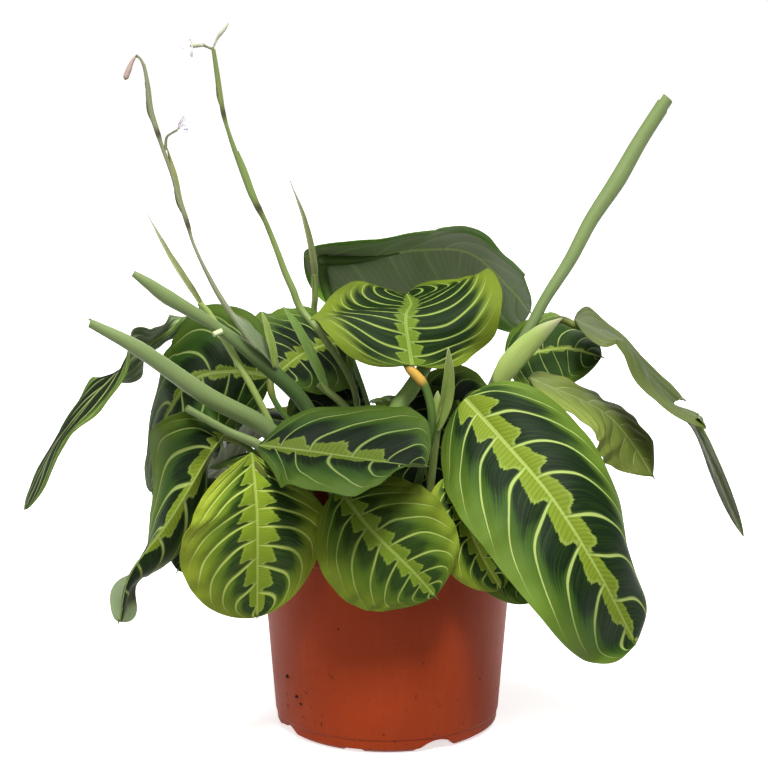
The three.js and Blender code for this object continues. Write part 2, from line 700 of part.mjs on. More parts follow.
// Pieces that aren't opened leaves. Each is one body of all that its row lists. A line that starts
// at the root has one radius more than it has points: the first is that of the root.
const STEMS = [
  {
    name: 'rolled_leaf_right', colour: 'stalk', root: [34, -12, 3.2],
    rolls: [
      {
        line: [[42, -12.5, 125], [50.5, -11.5, 166.5], [57.4, -9.5, 176.9], [65.2, -7, 189.5],
          [72.6, -3, 202.8], [84.2, 3, 219.9], [94, 8, 237.8], [106.3, 13, 255.7],
          [117.1, 17, 274.1], [129.5, 20, 293.2]],
        radii: [3.2, 3.5, 3.6, 3.3, 3.1, 3.1, 3.7, 4.15, 4.8, 4.3, 4.1], mouth: 12, sides: 9,
      },
    ],
    bracts: [
      {
        rib: [[51.7, -15, 162.1], [61.4, -13, 172.5], [70.7, -8.5, 182.8], [80.5, -3, 193.9]],
        width: 24, face: [-0.5, 0.4, 0.6], fold: 0.3, ease: 0.67, curl: [1.5, 0.9],
      },
    ],
  },
  {
    name: 'rolled_leaf_left', colour: 'stalk', root: [-28, -22, 2.8],
    rolls: [
      {
        line: [[-38, -31, 121], [-53.2, -36.5, 148], [-81.1, -49, 167.6], [-109, -58, 190],
          [-131, -62, 203]],
        radii: [2.8, 3.2, 4.8, 4.9, 4.1, 2.3], mouth: 8, sides: 8,
      },
    ],
  },
  {
    name: 'cut_stalk', colour: 'stalk', root: [-36, -26, 2],
    rolls: [
      {
        line: [[-44, -38, 120], [-54, -46, 141], [-72, -51, 152], [-89, -55, 163]],
        radii: [2, 2, 2, 2, 1.9], mouth: 1.5, sides: 8,
      },
    ],
  },
  {
    name: 'shoot_left', colour: 'dark', root: [-22, -10, 2.6],
    rolls: [
      {
        line: [[-28, -18, 132], [-37, -23, 157], [-56.4, -30, 178.7], [-76.3, -34, 195.5],
          [-97.7, -38, 209.8], [-105.9, -39.5, 216], [-113, -40.5, 221.1]],
        radii: [2.6, 3, 4.2, 4.4, 3, 4.2, 3.1, 1.6], mouth: 4, sides: 8,
      },
    ],
    stalks: [
      {
        line: [[-56.6, -26.5, 178], [-65.1, -25.5, 192.1], [-74.5, -24.5, 206.1],
          [-79.3, -24, 214.7], [-84, -23, 224.1], [-87.8, -21, 232.9], [-89.8, -20, 240],
          [-93.5, -19, 250.8], [-96.4, -18, 261.9], [-100.5, -17.5, 273.6],
          [-102.6, -17, 280.2], [-105, -16.5, 287.3], [-106.5, -16, 295.3],
          [-107.2, -15.5, 303.3], [-108.3, -15, 309.5], [-110, -15, 313.5], [-112, -15, 315.1]],
        radii: [1.4, 1.4, 1.3, 1.1, 0.8, 0.75, 0.95, 1, 1, 0.9, 1, 1.1, 1.1, 1, 0.8, 0.6, 0.65],
      },
      {
        line: [[-99.4, -17, 273.1], [-98.8, -18, 278.6], [-96.6, -19, 280.7], [-92.5, -20, 283]],
        radii: [0.8, 0.6, 0.55, 0.6],
      },
      {
        line: [[-73.9, -37, 194.2], [-77.5, -39, 193]],
        radii: [1.3, 1.3],
      },
    ],
    bracts: [
      {
        rib: [[-49.7, -31, 176.1], [-56.2, -33.5, 184.9], [-62.8, -35.5, 193.5],
          [-68.9, -36, 202.2]],
        width: 8.5, face: [0.6, -0.6, 0.5], fold: 0.5, ease: 0.7,
      },
      {
        rib: [[-50.9, -33, 176.5], [-51.7, -34.5, 185.1], [-53.8, -35.5, 194],
          [-55.9, -36, 202.7]],
        width: 5, face: [0.3, -0.9, 0.2], fold: 0.8, ease: 0.7,
      },
      {
        rib: [[-89.3, -18.4, 241.2], [-92.4, -17.4, 250.6], [-94.7, -16.4, 261.8],
          [-98.8, -15.9, 273.9]],
        width: 5.6, face: [-0.9, -0.4, 0.1], fold: 0.85,
      },
      {
        rib: [[-102.2, -15.4, 281.5], [-105, -14.4, 290.8], [-106.2, -13.9, 300.6],
          [-108.3, -13.4, 311.2]],
        width: 5.4, face: [-0.9, -0.4, 0.1], fold: 0.85,
      },
    ],
    petals: [
      {
        rib: [[-93.4, -19.5, 282.7], [-92, -20.5, 285.1], [-91, -21, 286.9],
          [-90.8, -21, 288.7]],
        width: 2.6, face: [0.3, -0.9, 0.2],
      },
      {
        rib: [[-93.4, -19.5, 282.7], [-91.1, -21, 283.8], [-89.2, -21.5, 284.8],
          [-87.9, -21, 286]],
        width: 2.6, face: [0.1, -0.9, 0.3],
      },
      {
        rib: [[-93.4, -19.5, 282.7], [-92, -21, 282.9], [-90.2, -21.5, 282.7],
          [-88.8, -21.5, 282.3]],
        width: 2.6, face: [0, -0.8, 0.5],
      },
    ],
    buds: [
      {
        line: [[-112, -15, 315.1], [-113.8, -15.5, 312.2], [-115.3, -16, 308.7],
          [-116.5, -16.5, 305.6], [-117, -16.5, 304.3]],
        radii: [0.6, 0.9, 1.35, 1.3, 0.4],
      },
    ],
  },
  {
    name: 'flower_stalk_right', colour: 'stalk', root: [-10, 4, 1.5],
    stalks: [
      {
        line: [[-13, 7, 135], [-16, 7, 160], [-30, 14, 182], [-40.3, 19, 194.2],
          [-44, 19.5, 203.1], [-47.7, 20, 211.5], [-50.9, 20, 220.5], [-54.1, 20, 229],
          [-56.7, 19, 235.7], [-59.7, 18, 241.9], [-63, 17.5, 249], [-66.2, 17, 257.9],
          [-70.1, 15.5, 268.8], [-73.2, 14.5, 278.6], [-75.1, 14, 286], [-76.3, 13, 293.9],
          [-77.5, 12, 301.7], [-78.5, 11, 310], [-79.5, 10.5, 316.8]],
        rooted: true,
        radii: [1.5, 1.5, 1.5, 1.6, 1.7, 1.7, 1.6, 1.4, 1.3, 1.2, 1.3, 1.6, 1.6, 1.2, 0.9, 0.95,
          1.1, 1.05, 0.9, 0.65],
      },
      {
        line: [[-79.5, 10.5, 315.9], [-81.7, 9.5, 316.9], [-83.7, 9, 317.9]],
        radii: [0.6, 0.55, 0.75],
      },
    ],
    bracts: [
      {
        rib: [[-59, 19.4, 242.7], [-62.2, 18.9, 251.2], [-65.1, 18.4, 259.7],
          [-68.8, 17.4, 268.6]],
        width: 6, face: [-0.9, -0.4, 0.1], fold: 0.85,
      },
      {
        rib: [[-74.6, 14.9, 286.8], [-75.6, 13.9, 294.7], [-76.8, 12.9, 304],
          [-78.6, 11.9, 315.9]],
        width: 5.2, face: [-0.9, -0.4, 0.1], fold: 0.85,
      },
    ],
    petals: [
      {
        rib: [[-88.7, 8.5, 317.9], [-90.9, 8, 317.5], [-93.1, 7.5, 317.3], [-94.9, 7.5, 318]],
        width: 2.2, face: [0.1, -0.6, 0.8],
      },
      {
        rib: [[-88.7, 8.5, 317.9], [-89, 7, 316.2], [-89, 6.5, 314.4], [-88.8, 6.5, 312.6]],
        width: 2.4, face: [-0.6, -0.7, 0.1],
      },
      {
        rib: [[-88.2, 8.5, 317.9], [-89.1, 9, 318.8], [-89.6, 9.5, 319.6], [-89.6, 9.5, 320.5]],
        width: 2.6, face: [-0.6, -0.7, 0.1],
      },
    ],
    buds: [
      {
        line: [[-79.4, 10.4, 316.2], [-77.4, 10, 320.5], [-75.5, 9.5, 323.2],
          [-73.6, 9.5, 325.5], [-72, 9.5, 328]],
        radii: [0.5, 0.6, 0.95, 0.8, 0.35],
      },
      {
        line: [[-83.2, 9, 317.6], [-85.5, 8.7, 318.1], [-87.8, 8.5, 317.9], [-89.6, 8.5, 317.5]],
        radii: [0.7, 1.35, 1.4, 1.15],
      },
    ],
  },
  {
    name: 'sheath_far_left', colour: 'pale', root: [-34, 2, 1.6],
    stalks: [
      {
        line: [[-44, -19, 126], [-58, -27, 160], [-77.1, -28, 195.3], [-84, -30, 205.7]],
        rooted: true, radii: [1.6, 1.6, 1.6, 1.6, 1.5],
      },
    ],
    bracts: [
      {
        rib: [[-81.9, -29, 201.9], [-89.6, -31.5, 214.6], [-97.8, -32, 228.7],
          [-107.2, -31, 247]],
        width: 4.8, tip: 1.6, face: [0.3, -0.8, 0.4], fold: 0.8,
      },
    ],
  },
  {
    name: 'sheath_tall', colour: 'pale', root: [-13, 38, 1.6],
    stalks: [
      {
        line: [[-15, 46, 130], [-27, 72, 160], [-35, 73, 179], [-35, 67, 192.4],
          [-35.2, 62.4, 203.5]],
        rooted: true, radii: [1.6, 1.6, 1.6, 1.6, 1.6, 1.3],
      },
    ],
    bracts: [
      {
        rib: [[-35, 67.6, 190.8], [-35.7, 59.6, 209.9], [-39.3, 55, 230], [-46.2, 52, 250.6]],
        width: 5, tip: 1.6, face: [0.2, -0.9, 0.2], fold: 0.8,
      },
    ],
  },
  {
    name: 'sheath_middle', colour: 'dark', root: [-12, -12, 1.8],
    stalks: [
      {
        line: [[-13, -12, 125], [-17, -11, 150], [-31.2, -14, 165.2]],
        rooted: true, radii: [1.8, 1.8, 1.8, 1.7],
      },
    ],
    bracts: [
      {
        rib: [[-28, -13, 160.8], [-34.8, -15.5, 175.8], [-40.5, -18, 189.3],
          [-47.2, -18, 202.2]],
        width: 8, face: [0.5, -0.7, 0.4], fold: 0.75,
      },
    ],
  },
  {
    name: 'sheath_right', colour: 'stalk', root: [18, -12, 1.8],
    stalks: [
      {
        line: [[21, -20, 128], [23.2, -27, 149.3]],
        rooted: true, radii: [1.8, 1.8, 1.6],
      },
    ],
    bracts: [
      {
        rib: [[22.7, -28, 146.8], [26.2, -31.5, 160.5], [27.4, -36, 172.6], [27.4, -41, 187.3]],
        width: 8.4, face: [0.1, -0.9, 0.3], fold: 0.7,
      },
      {
        rib: [[19.5, -28, 147.7], [21.2, -30.5, 154.3], [22.1, -31.5, 160.1], [23, -31, 165.5]],
        width: 6, face: [0.1, -0.9, 0.3], fold: 0.6,
      },
    ],
  },
  {
    name: 'sheath_centre', colour: 'stalk', root: [0, -24, 3],
    stalks: [
      {
        line: [[-1, -24.5, 125], [3.2, -24, 152.4], [10.9, -20, 164.1], [18.7, -14, 175.5]],
        rooted: true, radii: [3, 3.2, 3.8, 3.8, 3], sides: 8,
      },
    ],
  },
];

function stemBody(row) {
  const parts = [
    ...(row.rolls ?? []).map((part) => rolled(row.root, part)),
    ...(row.stalks ?? []).map((part) => stalkBody(row.root, part)),
    ...(row.bracts ?? []).map(bractBody),
    ...(row.petals ?? []).map(petalBody),
    ...(row.buds ?? []).map((part) => stalkBody(row.root, part)),
  ];
  return parts.reduce((body, part) => body.add(part));
}

function toMesh(name, body, colour, roughness = 0.5) {
  const mesh = body.getMesh();
  const geometry = new THREE.BufferGeometry();
  const places = new Float32Array(mesh.vertProperties);
  geometry.setAttribute('position', new THREE.BufferAttribute(places, 3));
  geometry.setIndex(new THREE.BufferAttribute(new Uint32Array(mesh.triVerts), 1));
  geometry.computeVertexNormals();
  const look = { color: COLOURS[colour], roughness, metalness: 0 };
  const material = new THREE.MeshStandardMaterial(look);
  const piece = new THREE.Mesh(geometry, material);
  piece.name = name;
  return piece;
}

const plant = new THREE.Group();
plant.name = 'potted_prayer_plant';

const holes = [];
for (const leaf of LEAVES) {
  holes.push([leaf.root[0], leaf.root[1], leaf.stalk ?? STEM_RADIUS]);
  plant.add(toMesh(leaf.name, leafBody(leaf), leaf.colour));
}
for (const row of STEMS) {
  holes.push(row.root);
  plant.add(toMesh(row.name, stemBody(row), row.colour));
}
plant.add(toMesh('pot', potBody(), 'pot', 0.45));
plant.add(toMesh('soil', soilBody(holes), 'soil', 0.95));

export default plant;
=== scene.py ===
import math
import random

import bmesh
import bpy
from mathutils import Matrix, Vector, noise


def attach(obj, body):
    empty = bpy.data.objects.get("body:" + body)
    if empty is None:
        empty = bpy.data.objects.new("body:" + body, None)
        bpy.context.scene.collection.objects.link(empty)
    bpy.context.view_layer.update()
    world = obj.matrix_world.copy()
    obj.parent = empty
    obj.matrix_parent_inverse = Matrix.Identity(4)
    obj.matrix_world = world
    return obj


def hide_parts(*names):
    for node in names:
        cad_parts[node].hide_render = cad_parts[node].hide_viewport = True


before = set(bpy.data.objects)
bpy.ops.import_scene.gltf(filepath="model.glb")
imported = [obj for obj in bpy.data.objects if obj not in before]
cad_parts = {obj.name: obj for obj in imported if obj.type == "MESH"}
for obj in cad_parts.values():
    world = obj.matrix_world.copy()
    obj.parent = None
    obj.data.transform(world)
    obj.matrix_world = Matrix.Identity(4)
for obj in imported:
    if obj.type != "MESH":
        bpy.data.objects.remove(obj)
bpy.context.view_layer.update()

MM = 0.001
FULL_TURN = 2 * math.pi

# Points of one surface that lie closer together than this, in millimetres, become one.
WELD = 0.002

# Pot, in millimetres. An arch's half width and ARCH_TURN are in degrees round the pot, and
# POT_ROUND is how many faces go round it.
POT_HEIGHT = 100.0
POT_RIM_RADIUS = 61.0
POT_TOP_RADIUS = 59.2
POT_LOW_RADIUS = 52.8
POT_FOOT_RADIUS = 48.6
POT_WALL = 1.6
POT_ROUNDING = 0.45
COLLAR_BOTTOM = 88.0
RIM_EDGE = 99.2
FOOT_BAND = 7.0
FLOOR_UNDER = 7.5
FLOOR_TOP = 9.5
PAD_RADIUS = 15.0
POT_ROUND = 480
ARCH_COUNT = 8
ARCH_TURN = -18.0
BIG_ARCH = {"height": 5.2, "half": 12.5}
SMALL_ARCH = {"height": 1.8, "half": 6.0}

# Soil, with its grid and its loose crumbs, and where the stems start in it and come out of their
# holes, in millimetres.
SOIL_TOP = 89.0
SOIL_LOW = 80.0
SOIL_GAP = 0.35
SOIL_RINGS = 70
SOIL_ROUND = 240
SOIL_CRUMBS = 420
STEM_FOOT = 80.0
STEM_RISE = 92.0

# Leaves and what is rolled up, in millimetres. The joint is the thick end of a leaf's stalk, and
# it starts and is full so far before the blade. ROLL_SLIMMING makes rolls thinner than their radii.
CELL = 1.15
BLADE_THICK = 0.42
BRACT_THICK = 0.3
RIB_DEPTH = 0.8
STALK_RADIUS = 1.45
STALK_CLEARANCE = 0.85
STALK_SIDES, STALK_STEP = ((16, 1.6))
JOINT_SWELL = 0.35
JOINT_START, JOINT_FULL = 12.5, 9.5
ROLL_STEPS = 90
ROLL_GRID = ((150, 96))
ROLL_SLIMMING = 0.88

# Places of the materials on a leaf.
TOP_SIDE, UNDER_SIDE, LEAF_STALK = range(3)

# The floor and the camera, in metres. The focal length is in pixels of a picture this high.
FLOOR_SIZE = 18.0
VIEW_AIM = Vector((-0.0014, 0, 0.1594))
VIEW_RISE = math.radians(12)
VIEW_DISTANCE = 1.2
VIEW_FOCAL = 2586
VIEW_PIXELS = 780
SENSOR = 36


def colour(red, green, blue):
    """A colour given as 0 to 255 on screen, as the linear one that a shader takes."""
    return tuple(((c / 255 + 0.055) / 1.055) ** 2.4 if c > 10 else c / 255 / 12.92
                 for c in (red, green, blue)) + (1.0,)


def colours(table):
    """The colours of a table by their names."""
    return {name: colour(*shade) for name, shade in table.items()}


def mix(a, b, t):
    return a + (b - a) * t


def smooth(low, high, x):
    t = min(max((x - low) / (high - low), 0.0), 1.0)
    return t * t * (3 - 2 * t)


def off_whole(value):
    """How far the value is from the nearest whole number."""
    return abs((value + 0.5) % 1 - 0.5)


def on_line(line, t):
    """Point on a smooth line through the given points, t from 0 to 1."""
    last = len(line) - 1
    place = min(max(t, 0.0), 1.0) * last
    i = min(int(place), last - 1)
    f = place - i
    b, c = line[i], line[i + 1]
    a = line[i - 1] if i > 0 else 2 * b - c
    d = line[i + 2] if i + 2 <= last else 2 * c - b
    m0, m1 = (c - a) / 2, (d - b) / 2
    return b + f * (m0 + f * ((3 * (c - b) - 2 * m0 - m1) + f * (2 * (b - c) + m0 + m1)))


def along_line(line, t):
    return (on_line(line, t + 0.002) - on_line(line, t - 0.002)).normalized()


def on_list(values, t):
    """Value at t, from 0 to 1, along evenly placed values."""
    place = min(max(t, 0.0), 1.0) * (len(values) - 1)
    i = min(int(place), len(values) - 2)
    return mix(values[i], values[i + 1], place - i)


def points(rows):
    return [Vector(row) for row in rows]


def lengths_along(line, steps):
    """How long the line is up to each of its even steps."""
    dots = [on_line(line, k / steps) for k in range(steps + 1)]
    run = [0.0]
    for a, b in zip(dots, dots[1:]):
        run.append(run[-1] + (b - a).length)
    return run


def length_of(line):
    """The whole length of the smooth line."""
    return lengths_along(line, 24)[-1]


# Mesh helpers

def surface(bm, columns, rows, place, slot=0, charts=None, marks=None):
    """A grid bent to place(x, y), x and y from 0 to 1, and welded where it meets itself.
    Its UV map "run" holds x and y. Each of charts is a UV map of its own, from x, y and whether
    the face lies past the middle in y. Each of marks is a number kept on the vertices."""
    charts = {"run": lambda x, y, past: (x, y), **(charts or {})}
    maps = {name: bm.loops.layers.uv.get(name) or bm.loops.layers.uv.new(name) for name in charts}
    floats = bm.verts.layers.float
    layers = {name: floats.get(name) or floats.new(name) for name in marks or {}}
    verts = bmesh.ops.create_grid(bm, x_segments=columns, y_segments=rows, size=0.5)["verts"]
    faces = {face for vert in verts for face in vert.link_faces}
    for face in faces:
        face.material_index = slot
        face.smooth = True
        past = face.calc_center_median().y > 0
        for loop in face.loops:
            x, y = loop.vert.co.x + 0.5, loop.vert.co.y + 0.5
            for name, chart in charts.items():
                loop[maps[name]].uv = chart(x, y, past)
    for vert in verts:
        x = min(max(vert.co.x + 0.5, 0.0), 1.0)
        y = min(max(vert.co.y + 0.5, 0.0), 1.0)
        for name, layer in layers.items():
            vert[layer] = marks[name](x, y)
        vert.co = place(x, y)
    bmesh.ops.remove_doubles(bm, verts=verts, dist=WELD)
    faces = [face for face in faces if face.is_valid]
    bmesh.ops.reverse_faces(bm, faces=faces)
    return faces


def thicken(bm, faces, depth, slot):
    """Gives a sheet of faces a lower side that lies depth(vertex) under it, in material slot."""
    down = bm.verts.layers.float_vector.new("down")
    bm.normal_update()
    for vert in {vert for face in faces for vert in face.verts}:
        vert[down] = vert.normal * -depth(vert)
    made = bmesh.ops.extrude_face_region(bm, geom=faces, use_keep_orig=True)["geom"]
    for part in made:
        if isinstance(part, bmesh.types.BMVert):
            part.co += part[down]
        elif isinstance(part, bmesh.types.BMFace):
            part.material_index = slot
    bm.verts.layers.float_vector.remove(down)


def frames(line, count):
    """Centre, side and up along the line, which turn with it and don't twist."""
    made = []
    side = None
    for k in range(count + 1):
        along = along_line(line, k / count)
        if side is None:
            side = Vector((0, 1, 0)).cross(along)
            if side.length < 0.1:
                side = Vector((1, 0, 0)).cross(along)
        side = (side - along * side.dot(along)).normalized()
        made.append((on_line(line, k / count), side, along.cross(side)))
    return made


def tube(bm, line, radius, slot, sides, step, marks):
    """A closed round bar along the line, radius(t) thick."""
    count = max(6, round(length_of(line) / step))
    path = frames(line, count)
    reach = [0.0, *[1.0] * (count + 1), 0.0]

    def place(x, y):
        k = round(x * (count + 2))
        at, side, up = path[min(max(k - 1, 0), count)]
        angle = FULL_TURN * y
        size = radius(min(max(k - 1, 0), count) / count) * reach[k]
        return at + (side * math.cos(angle) + up * math.sin(angle)) * size

    surface(bm, count + 2, sides, place, slot, marks=marks)


def to_object(bm, name, materials):
    """Turns the bmesh into an object of the scene."""
    mesh = bpy.data.meshes.new(name)
    bm.to_mesh(mesh)
    bm.free()
    for material in materials:
        mesh.materials.append(material)
    made = bpy.data.objects.new(name, mesh)
    bpy.context.scene.collection.objects.link(made)
    return made


def finish_piece(bm, name, nodes, materials, crease):
    """Turns the bmesh, in millimetres, into a piece in metres that stands for the nodes. Edges
    sharper than crease, in degrees, stay sharp."""
    bmesh.ops.scale(bm, vec=(MM, MM, MM), verts=bm.verts)
    bmesh.ops.recalc_face_normals(bm, faces=bm.faces)
    piece = to_object(bm, name, materials)
    piece.data.set_sharp_from_angle(angle=math.radians(crease))
    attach(piece, "root")
    if nodes:
        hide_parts(*nodes)


# Shader helpers

# Colours on screen, from 0 to 255.
COLOURS = colours({
    "under_line": (140, 158, 118), "under_vein": (156, 176, 122), "under_rib": (160, 180, 108),
    "under_rim": (84, 122, 40), "low_stalk": (62, 88, 44), "joint": (205, 160, 70),
    "petal": (236, 232, 238), "petal_tip": (172, 152, 190), "petal_end": (150, 118, 108),
    "clay": (172, 64, 24), "clay_deep": (148, 52, 19), "clay_flow": (184, 80, 38),
    "clay_scuff": (196, 104, 64), "clay_blot": (132, 50, 24), "dust": (70, 40, 26),
    # The rim colour is painted shade for the top band of the pot, under the leaves.
    "rim_painted_shade": (84, 42, 26), "peat": (34, 22, 15), "peat_light": (74, 50, 34),
    "fibre": (116, 88, 58), "paper": (247, 247, 247), "paper_shade": (243, 243, 244)})

# How deep each relief is, in metres.
RELIEF = {"vein": 0.0003, "line": 0.00012, "pore": 0.00005, "stalk_pore": 0.00004,
          "petal_line": 0.0001, "flow": 0.00008, "plastic_grain": 0.00003, "clod": 0.0012,
          "fibre": 0.0003, "paper": 0.00005}


class Term:
    """A socket of a node tree, so that a shader is written as plain formulas."""

    def __init__(self, tree, socket):
        self.tree = tree
        self.socket = socket

    def math(self, operation, *others):
        node = self.tree.nodes.new("ShaderNodeMath")
        node.operation = operation
        for socket, value in zip(node.inputs, (self, *others)):
            feed(self.tree, socket, value)
        return Term(self.tree, node.outputs[0])

    def __add__(self, other):
        return self.math("ADD", other)

    def __sub__(self, other):
        return self.math("SUBTRACT", other)

    def __mul__(self, other):
        return self.math("MULTIPLY", other)

    def __truediv__(self, other):
        return self.math("DIVIDE", other)

    def __pow__(self, other):
        return self.math("POWER", other)

    def __rsub__(self, other):
        return self * -1 + other

    __radd__ = __add__
    __rmul__ = __mul__

    def size(self):
        return self.math("ABSOLUTE")

    def part(self):
        return self.math("FRACT")

    def most(self, other):
        return self.math("MAXIMUM", other)

    def off_whole(self):
        """How far the value is from the nearest whole number."""
        return ((self + 0.5).part() - 0.5).size()

    def stripes(self, count):
        """Soft light lines, count of them from each whole number to the next."""
        return (self * count).part().ramp((0.0, 0.0), (0.5, 1.0), (1.0, 0.0))

    def step(self, low, high, from_value=0.0, to_value=1.0):
        """A smooth step from from_value at low to to_value at high. low and high may be terms."""
        node = self.tree.nodes.new("ShaderNodeMapRange")
        node.interpolation_type = "SMOOTHSTEP"
        for name, value in (("Value", self), ("From Min", low), ("From Max", high),
                            ("To Min", from_value), ("To Max", to_value)):
            feed(self.tree, node.inputs[name], value)
        return Term(self.tree, node.outputs["Result"])

    def ramp(self, *stops):
        """A value that follows stops of (place, value)."""
        node = self.tree.nodes.new("ShaderNodeValToRGB")
        elements = node.color_ramp.elements
        while len(elements) < len(stops):
            elements.new(0.5)
        for element, (place, value) in zip(elements, stops):
            element.position = place
            element.color = (value, value, value, 1)
        feed(self.tree, node.inputs["Fac"], self)
        return Term(self.tree, node.outputs["Color"])


def feed(tree, socket, value):
    if isinstance(value, Term):
        tree.links.new(value.socket, socket)
    else:
        socket.default_value = value


class Finish:
    """A material under construction: one principled shader and the terms that feed it."""

    def __init__(self, name, **settings):
        self.material = bpy.data.materials.new(name)
        self.material.use_nodes = True
        self.tree = self.material.node_tree
        self.shader = self.tree.nodes["Principled BSDF"]
        for socket, value in settings.items():
            self.shader.inputs[socket.replace("_", " ")].default_value = value

    def node(self, kind, output, **inputs):
        node = self.tree.nodes.new(kind)
        for name, value in inputs.items():
            feed(self.tree, node.inputs[name.replace("_", " ")], value)
        return Term(self.tree, node.outputs[output])

    def chart(self, name):
        """X and Y of a UV map."""
        node = self.tree.nodes.new("ShaderNodeUVMap")
        node.uv_map = name
        split = self.node("ShaderNodeSeparateXYZ", "X", Vector=Term(self.tree, node.outputs["UV"]))
        return split, Term(self.tree, split.socket.node.outputs["Y"])

    def mark(self, name):
        node = self.tree.nodes.new("ShaderNodeAttribute")
        node.attribute_name = name
        return Term(self.tree, node.outputs["Fac"])

    def place(self):
        return self.node("ShaderNodeTexCoord", "Object")

    def height(self):
        return self.node("ShaderNodeSeparateXYZ", "Z", Vector=self.place())

    def vector(self, x, y, z=0.0):
        return self.node("ShaderNodeCombineXYZ", "Vector", X=x, Y=y, Z=z)

    def noise(self, vector, scale, detail, roughness=0.55):
        return self.node("ShaderNodeTexNoise", "Fac", Vector=vector, Scale=scale, Detail=detail,
                         Roughness=roughness)

    def drawn_noise(self, place, x, y, z, detail, roughness=0.55):
        """A noise of its own scale along x, y and z, drawn out where the scale is small."""
        drawn = self.node("ShaderNodeMapping", "Vector", Vector=place, Scale=(x, y, z))
        return self.noise(drawn, 1.0, detail, roughness)

    def blend(self, factor, first, second):
        node = self.tree.nodes.new("ShaderNodeMix")
        node.data_type = "RGBA"
        for index, value in ((0, factor), (6, first), (7, second)):
            feed(self.tree, node.inputs[index], value)
        return Term(self.tree, node.outputs[2])

    def shift(self, tint, value, hue=0.5):
        return self.node("ShaderNodeHueSaturation", "Color", Hue=hue, Value=value, Color=tint)

    def bump(self, height, relief, under=None):
        """A bump of height, 1 of it as deep as the relief of this name, over an earlier bump."""
        node = self.tree.nodes.new("ShaderNodeBump")
        feed(self.tree, node.inputs["Height"], height)
        node.inputs["Distance"].default_value = RELIEF[relief]
        if under:
            feed(self.tree, node.inputs["Normal"], under)
        return Term(self.tree, node.outputs["Normal"])

    def done(self, **terms):
        for socket, value in terms.items():
            feed(self.tree, self.shader.inputs[socket.replace("_", " ")], value)
        return self.material


# Screen colours of each kind of leaf. On top: its edge, the field between the veins, the dark
# blotches, the lime centre and the veins. Below: dull, and warm in places.
LEAF_COLOURS = {
    "old": dict(edge=(104, 130, 44), field=(60, 90, 28), dark=(15, 33, 11), lime=(132, 150, 42),
                vein=(180, 198, 112), dull=(112, 132, 94), warm=(120, 120, 102)),
    "dim": dict(edge=(84, 106, 42), field=(50, 74, 27), dark=(12, 22, 10), lime=(88, 112, 34),
                vein=(150, 166, 100), dull=(106, 124, 88), warm=(112, 112, 96)),
    "young": dict(edge=(142, 160, 46), field=(92, 120, 32), dark=(22, 46, 12),
                  lime=(128, 152, 42), vein=(186, 204, 106), dull=(116, 134, 72),
                  warm=(120, 122, 84)),
    "olive": dict(edge=(116, 130, 60), field=(104, 120, 52), dark=(62, 78, 34),
                  lime=(112, 130, 54), vein=(146, 160, 96), dull=(100, 114, 76),
                  warm=(104, 108, 82)),
}


